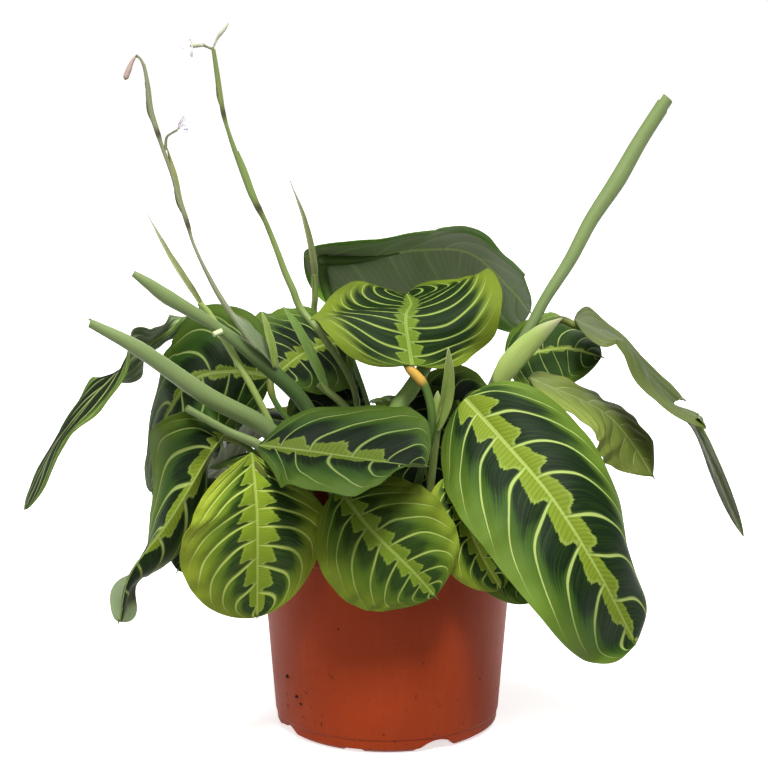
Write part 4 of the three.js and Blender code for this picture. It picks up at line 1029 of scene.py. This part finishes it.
# The leaves. root is where the stalk leaves the soil, stem leads it up, and rib is the midrib from
# base to tip. face is the way the blade faces at its base and at its tip.
LEAVES = [
    dict(name="leaf_front_right", colour="old", root=[20, -22],
         stem=[[27, -28, 119], [33.7, -31, 144.6]],
         rib=[[35.4, -29.6, 161.8], [52.1, -48.9, 146.4], [73.2, -69.5, 124.7], [93, -78.2, 94.1],
              [110.9, -67.9, 57.9]],
         face=[[0, -1.16, 0.18], [-0.33, -0.21, 0.67]],
         width=74.5, base=0.38, tip=0.3, wave=2, waves=2.6, seat=0.05, reach=(0.74, 0.58),
         taper=1.7, lobes=0.9, bold=1.2, tone_and_painted_light=0.2,
         fold=[[0.36, -0.54], [0.37, 0.6]], curl=[[-0.99, -1.34], [-1.07, 0.14]]),
    dict(name="leaf_front_left", colour="young", root=[-30, -36],
         stem=[[-43, -57, 117], [-54.5, -76.5, 138]],
         rib=[[-58.7, -81.1, 148.9], [-56.5, -84.1, 126.4], [-56.5, -81.7, 103.1],
              [-57.8, -69.8, 70.9]],
         face=[[0.11, -0.02, 0.93], [0.39, -0.93, -0.01]],
         width=82.1, base=0.72, tip=0.63, waves=2, phase=1, seat=0.05, reach=(0.62, 0.5), veins=8,
         tone_and_painted_light=0.8, bold=1.8,
         fold=[[-0.26, 0.19], [0.23, 0.2]], curl=[[-0.68, -0.19], [-0.21, -0.24]]),
    dict(name="leaf_front_middle", colour="young", root=[-4, -36],
         stem=[[-13, -44, 112], [-24, -53, 124]],
         rib=[[-21.8, -62.4, 128.3], [-7.8, -78.2, 114.2], [10.3, -80.8, 96.4],
              [21.1, -79.7, 83.6]],
         face=[[-0.44, -0.41, 0.81], [-0.09, -0.94, 0.23]],
         width=61.2, base=0.47, tip=0.57, waves=2, phase=2.4, reach=0.5, veins=8, lobes=0.7,
         blotch=0.85, bold=1.5, tone_and_painted_light=0.0,
         fold=[[0.28, 0.02], [0.06, 0.01]], curl=[[-0.39, -0.52], [-0.59, -0.47]]),
    dict(name="leaf_front_level", colour="old", root=[-18, -30],
         stem=[[-32, -44, 117], [-49, -56.3, 135.6]],
         rib=[[-57.3, -56.4, 146.3], [-33.2, -60.2, 144.8], [1.5, -77.4, 144],
              [16.6, -84.5, 143.8]],
         face=[[0.08, -0.59, 0.89], [0.87, -0.21, 0.18]],
         width=85.2, base=0.72, tip=0.88, waves=2, phase=0.6, lobes=0.75, limit=0.62, gloss=0.14,
         reach=(0.6, 0.5), veins=6, bold=1.1, tone_and_painted_light=-0.5,
         fold=[[-0.12, 0.54], [0.59, -0.11]], curl=[[-0.53, 0.27], [-0.2, -0.49]]),
    dict(name="leaf_left_low", colour="old", root=[-38, -14],
         stem=[[-49, -20, 119], [-65, -31.9, 140.8]],
         rib=[[-73.6, -36.3, 145.9], [-79.3, -40.8, 138.2], [-99, -49.3, 108.7],
              [-114.7, -59.8, 88.9], [-120.1, -64.6, 67.1]],
         face=[[0.67, 0.28, 0.48], [-0.01, -0.47, 0.98]],
         width=57.2, base=0.33, tip=0.32, waves=2.4, phase=4, seat=0.04, lobes=0.7, limit=0.6,
         reach=(0.5, 0.5), bold=1.6, tone_and_painted_light=0.3,
         fold=[[-0.68, -1.25], [-0.59, -1.25]], curl=[[-0.14, -2.07], [1.13, -1.12]]),
    dict(name="leaf_far_left", colour="dim", root=[-42, 8],
         stem=[[-48, 19, 125], [-75, 40, 164], [-88.2, 58.5, 179.6]],
         rib=[[-95.9, 52.3, 184], [-114.6, 38.7, 173.3], [-131.7, 23.1, 159.8],
              [-155.4, 16.3, 132.8], [-170.3, 3.1, 101.6]],
         face=[[-0.86, -0.58, -0.49], [0.03, 0.04, 0.46]],
         width=44.4, base=0.95, tip=0.41, wave=0.5, waves=2, phase=0.8, lobes=0.1, veins=5,
         bow=[(0.45, 0.2), (0.45, 0.2)], bold=1.8, tone_and_painted_light=0.8,
         fold=[[0.21, 0.2], [-0.15, -0.43]], curl=[[0.15, 0.19], [-0.05, -0.1]]),
    dict(name="leaf_left_back", colour="old", root=[-20, 6],
         stem=[[-36, 2, 130], [-52.1, 2, 153.4]],
         rib=[[-54.4, 4.3, 165.2], [-72.5, 6.2, 167], [-91.9, 2.2, 163.1], [-105.5, 4.9, 140.7],
              [-109.4, -7.5, 112.5]],
         face=[[-0.38, -0.74, -0.04], [-0.89, -0.16, 0.42]],
         width=75.3, base=0.49, tip=0.58, waves=2.4, phase=3, lobes=0.35, blotch=0.95, reach=0.42,
         bold=1.4, tone_and_painted_light=-0.4,
         fold=[[0.16, 0.08], [-0.13, -0.03]], curl=[[-0.49, -0.41], [-0.66, 0.04]]),
    dict(name="leaf_left_upper", colour="old", root=[-14, 26],
         stem=[[-13, 28, 132], [-16, 36, 158]],
         rib=[[-20.6, 44.1, 173.6], [-32.4, 36.9, 173.1], [-42.2, 27.1, 170.1], [-51.9, 19.8, 163]],
         face=[[-0.07, -0.55, 0.83], [-0.23, -0.68, 0.69]],
         width=64.6, base=0.48, tip=0.44, waves=2, phase=5, lobes=0.6, reach=0.6, bold=1.2,
         tone_and_painted_light=-0.1,
         fold=[[0.23, 0.04], [0.25, 0.23]], curl=[[-0.4, -0.44], [-0.32, -0.16]]),
    dict(name="leaf_top_middle", colour="young", root=[8, -16],
         stem=[[14, -30, 122], [20, -39.5, 150], [17.5, -38.5, 168]],
         rib=[[11.3, -38.6, 179.2], [8.8, -16.3, 196.5], [11.4, 20.9, 196.9], [9.3, 39.9, 197.9]],
         face=[[0.44, -0.07, 0.66], [-0.12, 0.93, 0.38]],
         width=86.8, base=0.39, tip=0.71, waves=1.6, phase=1.2, stalk=1.9, veins=10, orange=1,
         lobes=0.55, taper=2.0, bold=1.9, reach=0.8, tone_and_painted_light=-0.25,
         fold=[[-0.56, 0.04], [0.3, 0.52]], curl=[[-0.56, 0.49], [0.01, 0.35]]),
    dict(name="leaf_top_back", colour="old", root=[-4, 18],
         stem=[[-8, 45, 132], [-19, 64, 164], [-29, 73, 192], [-32, 75, 208]],
         rib=[[-40.7, 73.9, 211.4], [-9, 75.3, 210.8], [14.9, 81.3, 213.5], [41.3, 86.3, 211.1],
              [62.3, 85.8, 192.5], [70.6, 79.3, 181.8]],
         face=[[0.76, 0.43, 0.36], [0.67, 0.59, 0.38]],
         width=78.8, base=0.37, tip=0.36, waves=1.6, phase=0.4, seat=0.08, stalk=2.5, orange=0,
         green_rim_and_painted_light=1.0, tone_and_painted_light=0.4,
         fold=[[-0.38, 0.11], [-0.43, -0.21]], curl=[[-1.19, -0.05], [-0.06, -0.09]]),
    dict(name="leaf_right_back", colour="old", root=[26, 12],
         stem=[[39, 33, 128], [50, 39, 154]],
         rib=[[56.5, 40.1, 167.5], [70.8, 39.3, 170.1], [87.3, 38.1, 172.1], [102.3, 34.5, 168.2]],
         face=[[-0.02, -0.51, 0.85], [0.2, -0.55, 0.81]],
         width=66.2, tip=0.75, waves=2, phase=2, lobes=0.25, blotch=0.5, tone_and_painted_light=0.2,
         fold=[[0.16, -0.05], [0.14, -0.13]], curl=[[-0.49, -0.59], [-0.53, -0.65]]),
    dict(name="leaf_right", colour="olive", root=[36, -4],
         stem=[[46, -7, 124], [57, -7.2, 153.1]],
         rib=[[66.1, -3.8, 165.9], [97, -2.1, 152.4], [111.9, -3.8, 138.6], [123.5, -8.9, 120.3]],
         face=[[-0.26, -0.12, 0.95], [-0.27, -0.07, 0.95]],
         width=55.1, base=0.48, tip=0.86, wave=0.5, waves=2, lobes=0.1, blotch=0.2, bold=0.9,
         tone_and_painted_light=0.8,
         fold=[[0.03, -0.29], [0.1, 0.08]], curl=[[0.21, -0.43], [-0.42, -0.39]]),
    dict(name="leaf_far_right", colour="olive", root=[40, 4],
         stem=[[46, 8, 130], [57, 14, 165], [70, 18, 184], [81.1, 20.1, 188.8]],
         rib=[[88.2, 19.3, 189.1], [111.7, 18.1, 177.3], [131.4, 1.8, 154.4], [143.9, 0.4, 143.3],
              [165.1, -17.5, 94.2]],
         face=[[0.81, 0.11, -0.09], [-0.32, 0.45, 0.98]],
         width=74.8, base=0.31, tip=0.85, wave=0.5, waves=2, phase=1, lobes=0.1, blotch=0.3,
         bold=0.7, tone_and_painted_light=-0.2,
         fold=[[0.51, 0.3], [-0.32, -0.29]], curl=[[0.05, 0.25], [-0.27, -0.43]]),
    dict(name="leaf_inner_right", colour="old", root=[16, 4],
         stem=[[17, 10, 124], [18, 13, 136]],
         rib=[[20, 15, 143], [29, 19, 149], [39, 21, 146], [47, 22, 134]],
         face=[[0.1, -0.6, 0.8], [0.3, -0.7, 0.6]],
         width=48, tip=0.7, waves=1.8, phase=2, lobes=0.3, tone_and_painted_light=0.0),
    dict(name="leaf_front_small", colour="young", root=[12, -34],
         stem=[[20.1, -40, 111.5]],
         rib=[[27.1, -46, 129.5], [34, -57, 114.7], [42, -64, 98], [51, -64, 82]],
         face=[[0, -0.8, 0.6], [0.1, -0.95, 0.2]],
         width=36, tip=0.6, waves=1.5, phase=1),
    dict(name="leaf_under_right", colour="old", root=[30, -20],
         stem=[[38, -30, 112]],
         rib=[[42, -38, 116], [50, -48, 104], [58, -54, 89], [66, -56, 74]],
         face=[[0.1, -0.6, 0.8], [0.4, -0.9, 0.1]],
         width=40, tip=0.6, waves=1.5, phase=4, lobes=0.5, blotch=0.3, reach=0.4, tone_and_painted_light=0.8),
    dict(name="leaf_left_small", colour="old", root=[-42, -6],
         stem=[[-52, -8, 108]],
         rib=[[-62, -11, 113], [-75, -15, 107], [-88, -18, 95], [-97, -19, 78]],
         face=[[-0.2, -0.6, 0.8], [-0.5, -0.8, 0.3]],
         width=46, tip=0.6, waves=1.5, phase=2, lobes=0.5, tone_and_painted_light=-0.6),
    dict(name="leaf_inner_middle", colour="old", root=[4, -2],
         stem=[[4.5, 0, 120], [4, -1, 146]],
         rib=[[5, -4, 157], [12, -6, 148], [17, -7, 128], [21, -8, 104]],
         face=[[0.1, -0.8, 0.6], [0.1, -1, 0.1]],
         width=46, tip=0.6, waves=1.6, phase=3.4, lobes=0.3, tone_and_painted_light=-0.6),
    dict(name="leaf_inner_left", colour="old", root=[-26, 15],
         stem=[[-23, 22, 120], [-15, 24, 140]],
         rib=[[-11, 16, 151], [-21, 16, 149], [-32, 16, 141], [-41, 15, 128]],
         face=[[-0.1, -0.8, 0.5], [-0.2, -0.95, 0.2]],
         width=42, tip=0.6, waves=1.6, phase=0.7, lobes=0.3, tone_and_painted_light=-0.7),
]

LEAVES += [
    back_leaf("leaf_back_1", 151, 50, 114, [116, 122, 108, 74], 54, "old", 0.4),
    back_leaf("leaf_back_2", 131, 50, 128, [128, 138, 127, 92], 60, "old", 1.7),
    back_leaf("leaf_back_3", 96, 46, 118, [116, 120, 106, 72], 54, "young", 2.9),
    back_leaf("leaf_back_4", 73, 48, 126, [131, 139, 127, 92], 58, "old", 4.4),
    back_leaf("leaf_back_5", 47, 49, 118, [114, 119, 104, 70], 54, "old", 2.2),
    back_leaf("leaf_back_6", 22, 50, 116, [128, 135, 121, 86], 54, "young", 0.9),
]


# Leaves still rolled up, the cut stalk, the shoot, the sheaths and the flower stalks. A
# rooted line has one radius more than it has points: the first is that of the root.
STEMS = [
    dict(name="rolled_leaf_right", root=[34, -12],
         rolls=[dict(
             line=[[42, -12.5, 125], [50.5, -11.5, 166.5], [57.4, -9.5, 176.9], [65.2, -7, 189.5],
                   [72.6, -3, 202.8], [84.2, 3, 219.9], [94, 8, 237.8], [106.3, 13, 255.7],
                   [117.1, 17, 274.1], [129.5, 20, 293.2]],
             radii=[3.2, 3.5, 3.6, 3.3, 3.1, 3.1, 3.7, 4.15, 4.8, 4.3, 4.1], turns=1.75, start=2.2,
             twist=1.4, slant=-8, rooted=True, tint="roll", low=0.25
         )],
         bracts=[dict(
             rib=[[51.7, -15, 162.1], [61.4, -13, 172.5], [70.7, -8.5, 182.8], [80.5, -3, 193.9]],
             width=24, face=[-0.5, 0.4, 0.6], fold=(0.3, 0.201), curl=[1.5, 0.9], end=0.75,
             tint="light"
         )]),
    dict(name="rolled_leaf_left", root=[-28, -22],
         rolls=[dict(
             line=[[-38, -31, 121], [-53.2, -36.5, 148], [-81.1, -49, 167.6], [-109, -58, 190],
                   [-131, -62, 203]],
             radii=[2.8, 3.2, 4.8, 4.9, 4.1, 2.3], turns=1.75, start=0.6, twist=2.4, slant=6,
             rooted=True, tint="roll", low=0.3
         )]),
    dict(name="cut_stalk", root=[-36, -26],
         rolls=[dict(
             line=[[-44, -38, 120], [-54, -46, 141], [-72, -51, 152], [-89, -55, 163]],
             radii=[2, 2.4, 3, 2.1, 1.9], turns=1.02, start=2.4, twist=0.3, slant=0.4, inner=0.9,
             wall=0.7, rooted=True, tint="roll"
         )]),
    dict(name="shoot_left", root=[-22, -10],
         rolls=[dict(
             line=[[-28, -18, 132], [-37, -23, 157], [-56.4, -30, 178.7], [-76.3, -34, 195.5],
                   [-97.7, -38, 209.8], [-105.9, -39.5, 216], [-113, -40.5, 221.1]],
             radii=[2.6, 3, 4.2, 4.4, 3, 4.2, 3.1, 1.6], turns=1.6, start=1, twist=1.8, slant=5,
             rooted=True, tint="roll", low=0.9
         )],
         stalks=[dict(
             line=[[-56.6, -26.5, 178], [-65.1, -25.5, 192.1], [-74.5, -24.5, 206.1],
                   [-79.3, -24, 214.7], [-84, -23, 224.1], [-87.8, -21, 232.9], [-89.8, -20, 240],
                   [-93.5, -19, 250.8], [-96.4, -18, 261.9], [-100.5, -17.5, 273.6],
                   [-102.6, -17, 280.2], [-105, -16.5, 287.3], [-106.5, -16, 295.3],
                   [-107.2, -15.5, 303.3], [-108.3, -15, 309.5], [-110, -15, 313.5],
                   [-112, -15, 315.1]],
             radii=[1.4, 1.4, 1.3, 1.1, 0.8, 0.75, 0.95, 1, 1, 0.9, 1, 1.1, 1.1, 1, 0.8, 0.6, 0.65],
             joints=[0.375, 0.625, 1], tint="grey"
         ), dict(
             line=[[-99.4, -17, 273.1], [-98.8, -18, 278.6], [-96.6, -19, 280.7],
                   [-92.5, -20, 283]],
             radii=[0.8, 0.6, 0.55, 0.6], tint="grey"
         ), dict(
             line=[[-73.9, -37, 194.2], [-77.5, -39, 193]], radii=[1.3, 1.3], tint="stub"
         )],
         buds=[dict(
             line=[[-112, -15, 315.1], [-113.8, -15.5, 312.2], [-115.3, -16, 308.7],
                   [-116.5, -16.5, 305.6], [-117, -16.5, 304.3]],
             radii=[0.6, 0.9, 1.35, 1.3, 0.4], tint="brown"
         )],
         bracts=[dict(
             rib=[[-49.7, -31, 176.1], [-56.2, -33.5, 184.9], [-62.8, -35.5, 193.5],
                  [-68.9, -36, 202.2]],
             width=8.5, face=[0.6, -0.6, 0.5], fold=(0.5, 0.35), end=0.5, tint="silver"
         ), dict(
             rib=[[-50.9, -33, 176.5], [-51.7, -34.5, 185.1], [-53.8, -35.5, 194],
                  [-55.9, -36, 202.7]],
             width=5, face=[0.3, -0.9, 0.2], fold=(0.8, 0.56), end=0.3, tint="light"
         ), dict(
             rib=[[-89.3, -18.4, 241.2], [-92.4, -17.4, 250.6], [-94.7, -16.4, 261.8],
                  [-98.8, -15.9, 273.9]],
             width=5.6, face=[-0.9, -0.4, 0.1], fold=(0.85, 0.68), end=0.2, tint="olive"
         ), dict(
             rib=[[-102.2, -15.4, 281.5], [-105, -14.4, 290.8], [-106.2, -13.9, 300.6],
                  [-108.3, -13.4, 311.2]],
             width=5.4, face=[-0.9, -0.4, 0.1], fold=(0.85, 0.68), end=0.6, tint="olive"
         )],
         petals=[dict(
             rib=[[-93.4, -19.5, 282.7], [-92, -20.5, 285.1], [-91, -21, 286.9],
                  [-90.8, -21, 288.7]],
             width=2.6, face=[0.3, -0.9, 0.2], tint="petal"
         ), dict(
             rib=[[-93.4, -19.5, 282.7], [-91.1, -21, 283.8], [-89.2, -21.5, 284.8],
                  [-87.9, -21, 286]],
             width=2.6, face=[0.1, -0.9, 0.3], tint="petal"
         ), dict(
             rib=[[-93.4, -19.5, 282.7], [-92, -21, 282.9], [-90.2, -21.5, 282.7],
                  [-88.8, -21.5, 282.3]],
             width=2.6, face=[0, -0.8, 0.5], tint="petal"
         )]),
    dict(name="flower_stalk_right", root=[-10, 4],
         stalks=[dict(
             line=[[-13, 7, 135], [-16, 7, 160], [-30, 14, 182], [-40.3, 19, 194.2],
                   [-44, 19.5, 203.1], [-47.7, 20, 211.5], [-50.9, 20, 220.5], [-54.1, 20, 229],
                   [-56.7, 19, 235.7], [-59.7, 18, 241.9], [-63, 17.5, 249], [-66.2, 17, 257.9],
                   [-70.1, 15.5, 268.8], [-73.2, 14.5, 278.6], [-75.1, 14, 286], [-76.3, 13, 293.9],
                   [-77.5, 12, 301.7], [-78.5, 11, 310], [-79.5, 10.5, 316.8]],
             rooted=True,
             radii=[1.5, 1.5, 1.5, 1.6, 1.7, 1.7, 1.6, 1.4, 1.3, 1.2, 1.3, 1.6, 1.6, 1.2, 0.9, 0.95,
                    1.1, 1.05, 0.9, 0.65],
             joints=[0.55, 0.8], tint="green"
         ), dict(
             line=[[-79.5, 10.5, 315.9], [-81.7, 9.5, 316.9], [-83.7, 9, 317.9]],
             radii=[0.6, 0.55, 0.75], joints=[1], tint="grey"
         )],
         buds=[dict(
             line=[[-79.4, 10.4, 316.2], [-77.4, 10, 320.5], [-75.5, 9.5, 323.2],
                   [-73.6, 9.5, 325.5], [-72, 9.5, 328]],
             radii=[0.5, 0.6, 0.95, 0.8, 0.35], tint="cream"
         ), dict(
             line=[[-83.2, 9, 317.6], [-85.5, 8.7, 318.1], [-87.8, 8.5, 317.9],
                   [-89.6, 8.5, 317.5]],
             radii=[0.7, 1.35, 1.4, 1.15], tint="cream"
         )],
         bracts=[dict(
             rib=[[-59, 19.4, 242.7], [-62.2, 18.9, 251.2], [-65.1, 18.4, 259.7],
                  [-68.8, 17.4, 268.6]],
             width=6, face=[-0.9, -0.4, 0.1], fold=(0.85, 0.68), end=0.1, tint="leafy"
         ), dict(
             rib=[[-74.6, 14.9, 286.8], [-75.6, 13.9, 294.7], [-76.8, 12.9, 304],
                  [-78.6, 11.9, 315.9]],
             width=5.2, face=[-0.9, -0.4, 0.1], fold=(0.85, 0.68), end=0.2, tint="olive"
         )],
         petals=[dict(
             rib=[[-88.7, 8.5, 317.9], [-90.9, 8, 317.5], [-93.1, 7.5, 317.3], [-94.9, 7.5, 318]],
             width=2.2, face=[0.1, -0.6, 0.8], tint="petal"
         ), dict(
             rib=[[-88.7, 8.5, 317.9], [-89, 7, 316.2], [-89, 6.5, 314.4], [-88.8, 6.5, 312.6]],
             width=2.4, face=[-0.6, -0.7, 0.1], tint="petal"
         ), dict(
             rib=[[-88.2, 8.5, 317.9], [-89.1, 9, 318.8], [-89.6, 9.5, 319.6], [-89.6, 9.5, 320.5]],
             width=2.6, face=[-0.6, -0.7, 0.1], tint="petal"
         )]),
    dict(name="sheath_far_left", root=[-34, 2],
         stalks=[dict(
             line=[[-44, -19, 126], [-58, -27, 160], [-77.1, -28, 195.3], [-84, -30, 205.7]],
             rooted=True, radii=[1.6, 1.6, 1.6, 1.6, 1.5], tint="light"
         )],
         bracts=[dict(
             rib=[[-81.9, -29, 201.9], [-89.6, -31.5, 214.6], [-97.8, -32, 228.7],
                  [-107.2, -31, 247]],
             width=4.8, tip=1.6, face=[0.3, -0.8, 0.4], fold=(0.8, 0.64), end=0.9, tint="pale"
         )]),
    dict(name="sheath_tall", root=[-13, 38],
         stalks=[dict(
             line=[[-15, 46, 130], [-27, 72, 160], [-35, 73, 179], [-35, 67, 192.4],
                   [-35.2, 62.4, 203.5]],
             rooted=True, radii=[1.6, 1.6, 1.6, 1.6, 1.6, 1.3], tint="light"
         )],
         bracts=[dict(
             rib=[[-35, 67.6, 190.8], [-35.7, 59.6, 209.9], [-39.3, 55, 230], [-46.2, 52, 250.6]],
             width=5, tip=1.6, face=[0.2, -0.9, 0.2], fold=(0.8, 0.64), end=0.9, tint="pale"
         )]),
    dict(name="sheath_middle", root=[-12, -12],
         stalks=[dict(
             line=[[-13, -12, 125], [-17, -11, 150], [-31.2, -14, 165.2]], rooted=True,
             radii=[1.8, 1.8, 1.8, 1.7], tint="green"
         )],
         bracts=[dict(
             rib=[[-28, -13, 160.8], [-34.8, -15.5, 175.8], [-40.5, -18, 189.3],
                  [-47.2, -18, 202.2]],
             width=8, face=[0.5, -0.7, 0.4], fold=(0.75, 0.6), end=0.2, tint="leafy"
         )]),
    dict(name="sheath_right", root=[18, -12],
         stalks=[dict(
             line=[[21, -20, 128], [23.2, -27, 149.3]], rooted=True, radii=[1.8, 1.8, 1.6],
             tint="light"
         )],
         bracts=[dict(
             rib=[[22.7, -28, 146.8], [26.2, -31.5, 160.5], [27.4, -36, 172.6], [27.4, -41, 187.3]],
             width=8.4, face=[0.1, -0.9, 0.3], fold=(0.7, 0.56), end=0.35, tint="light"
         ), dict(
             rib=[[19.5, -28, 147.7], [21.2, -30.5, 154.3], [22.1, -31.5, 160.1], [23, -31, 165.5]],
             width=6, face=[0.1, -0.9, 0.3], fold=(0.6, 0.48), end=0.5, tint="light"
         )]),
    dict(name="sheath_centre", root=[0, -24],
         stalks=[dict(
             line=[[-1, -24.5, 125], [3.2, -24, 152.4], [10.9, -20, 164.1], [18.7, -14, 175.5]],
             rooted=True, radii=[3, 3.2, 3.8, 3.8, 3], tint="leafy"
         )]),
]


STEM_PARTS = {"rolls": add_roll, "stalks": add_stem, "buds": add_bud, "bracts": add_bract,
              "petals": add_petal}


def make_stem_piece(row):
    """A stem with all that grows on it. A rooted part starts in the soil, at the root."""
    bm = bmesh.new()
    x, y = row["root"]
    for kind, add_part in STEM_PARTS.items():
        for part in row.get(kind, []):
            shape = {key: value for key, value in part.items() if key not in ("tint", "rooted")}
            if part.get("rooted"):
                shape["line"] = [[x, y, STEM_FOOT], [x, y, STEM_RISE], *part["line"]]
                shape["radii"] = [part["radii"][0], *part["radii"]]
            add_part(bm, TINTS.index(part["tint"]), **shape)
    finish_piece(bm, row["name"] + "_fine", [row["name"]], STALKS, 50)


# Floor, lights and camera

def make_floor():
    """A wide, level, pale floor, bright enough to read as plain white in the distance too. It
    throws no diffuse light on the plant."""
    bm = bmesh.new()
    surface(bm, 8, 8, lambda x, y: Vector((x - 0.5, y - 0.5, 0)) * FLOOR_SIZE)
    floor = to_object(bm, "floor", [floor_finish()])
    floor.visible_diffuse = False


# Each soft light: its name, its place and what it points at in metres, its width and height, its
# watts and its colour.
LIGHTS = [
    ("key", (0.1, -0.95, 1.5), (0, 0, 0.12), (0.38, 0.38), 29, (1.0, 0.98, 0.93)),
    ("fill", (-0.9, -1.3, 0.8), (0, 0, 0.12), (0.8, 0.8), 3.4, (1.0, 0.98, 0.95)),
    ("top", (-0.1, 0.5, 1.4), (0, 0, 0.15), (1.0, 0.8), 2, (1.0, 0.99, 0.96)),
    ("behind", (0.5, 1.6, 0.9), (0, 0, 0.12), (0.8, 0.8), 7, (1.0, 0.99, 0.96)),
    ("overhead", (0, -0.2, 2.2), (0, 1.2, 0.3), (2.4, 0.6), 34, (1.0, 1.0, 1.0)),
]

# The light from all round.
AIR_COLOUR = (1.0, 0.99, 0.96, 1)
AIR_STRENGTH = 0.34


def make_studio():
    """Plain soft light from the air all round and from the lights in the table."""
    world = bpy.data.worlds.new("studio")
    world.use_nodes = True
    back = world.node_tree.nodes["Background"]
    back.inputs["Color"].default_value = AIR_COLOUR
    back.inputs["Strength"].default_value = AIR_STRENGTH
    scene = bpy.context.scene
    scene.world = world
    scene.view_settings.view_transform = "Standard"
    for name, place, aim, size, watts, tint in LIGHTS:
        light = bpy.data.lights.new(name, "AREA")
        light.shape = "RECTANGLE"
        light.size, light.size_y = size
        light.energy = watts
        light.color = tint
        lamp = bpy.data.objects.new(name, light)
        lamp.location = place
        lamp.rotation_euler = (Vector(aim) - Vector(place)).to_track_quat("-Z", "Y").to_euler()
        scene.collection.objects.link(lamp)


def make_camera():
    """The photo's own view, from the front and a little above."""
    lens = bpy.data.cameras.new("camera")
    lens.sensor_width = SENSOR
    lens.lens = SENSOR * VIEW_FOCAL / VIEW_PIXELS
    camera = bpy.data.objects.new("camera", lens)
    back = Vector((0, -math.cos(VIEW_RISE), math.sin(VIEW_RISE)))
    camera.location = VIEW_AIM + back * VIEW_DISTANCE
    camera.rotation_euler = (math.pi / 2 - VIEW_RISE, 0, 0)
    bpy.context.scene.collection.objects.link(camera)
    bpy.context.scene.camera = camera


# Light, deep and end colour of each stalk finish, on screen.
STALK_COLOURS = {
    "roll": ((126, 144, 92), (98, 118, 70), (116, 112, 70)),
    "green": ((138, 156, 92), (102, 124, 62), (70, 72, 44)),
    "grey": ((142, 146, 116), (114, 120, 90), (72, 68, 48)),
    "light": ((168, 188, 106), (136, 160, 82), (212, 208, 180)),
    "silver": ((134, 148, 116), (106, 124, 88), (178, 184, 164)),
    "olive": ((156, 160, 92), (124, 130, 72), (166, 148, 112)),
    "leafy": ((140, 168, 92), (98, 130, 62), (140, 150, 96)),
    "pale": ((176, 184, 136), (140, 152, 104), (214, 204, 202)),
    "stub": ((206, 220, 172), (180, 198, 142), (160, 160, 110)),
    "brown": ((182, 162, 154), (156, 132, 120), (106, 86, 76)),
    "cream": ((206, 204, 188), (176, 174, 152), (150, 144, 128)),
}
TINTS = [*STALK_COLOURS, "petal"]

RANDOM = random.Random(7)
SOIL = soil_finish()
PETIOLE = stalk_finish("petiole", (84, 112, 46), (52, 76, 30), (120, 92, 56))
STALKS = [*(stalk_finish("stalk_" + name, *shades) for name, shades in STALK_COLOURS.items()),
          petal_finish()]
LEAF_FINISHES = {kind: (leaf_top(kind), leaf_under(kind)) for kind in LEAF_COLOURS}

make_pot()
make_soil()
make_crumbs()
for leaf in LEAVES:
    make_leaf({"tone_and_painted_light": RANDOM.random(), **leaf})
for stem_row in STEMS:
    make_stem_piece(stem_row)
make_floor()
make_studio()
make_camera()

bpy.context.view_layer.update()
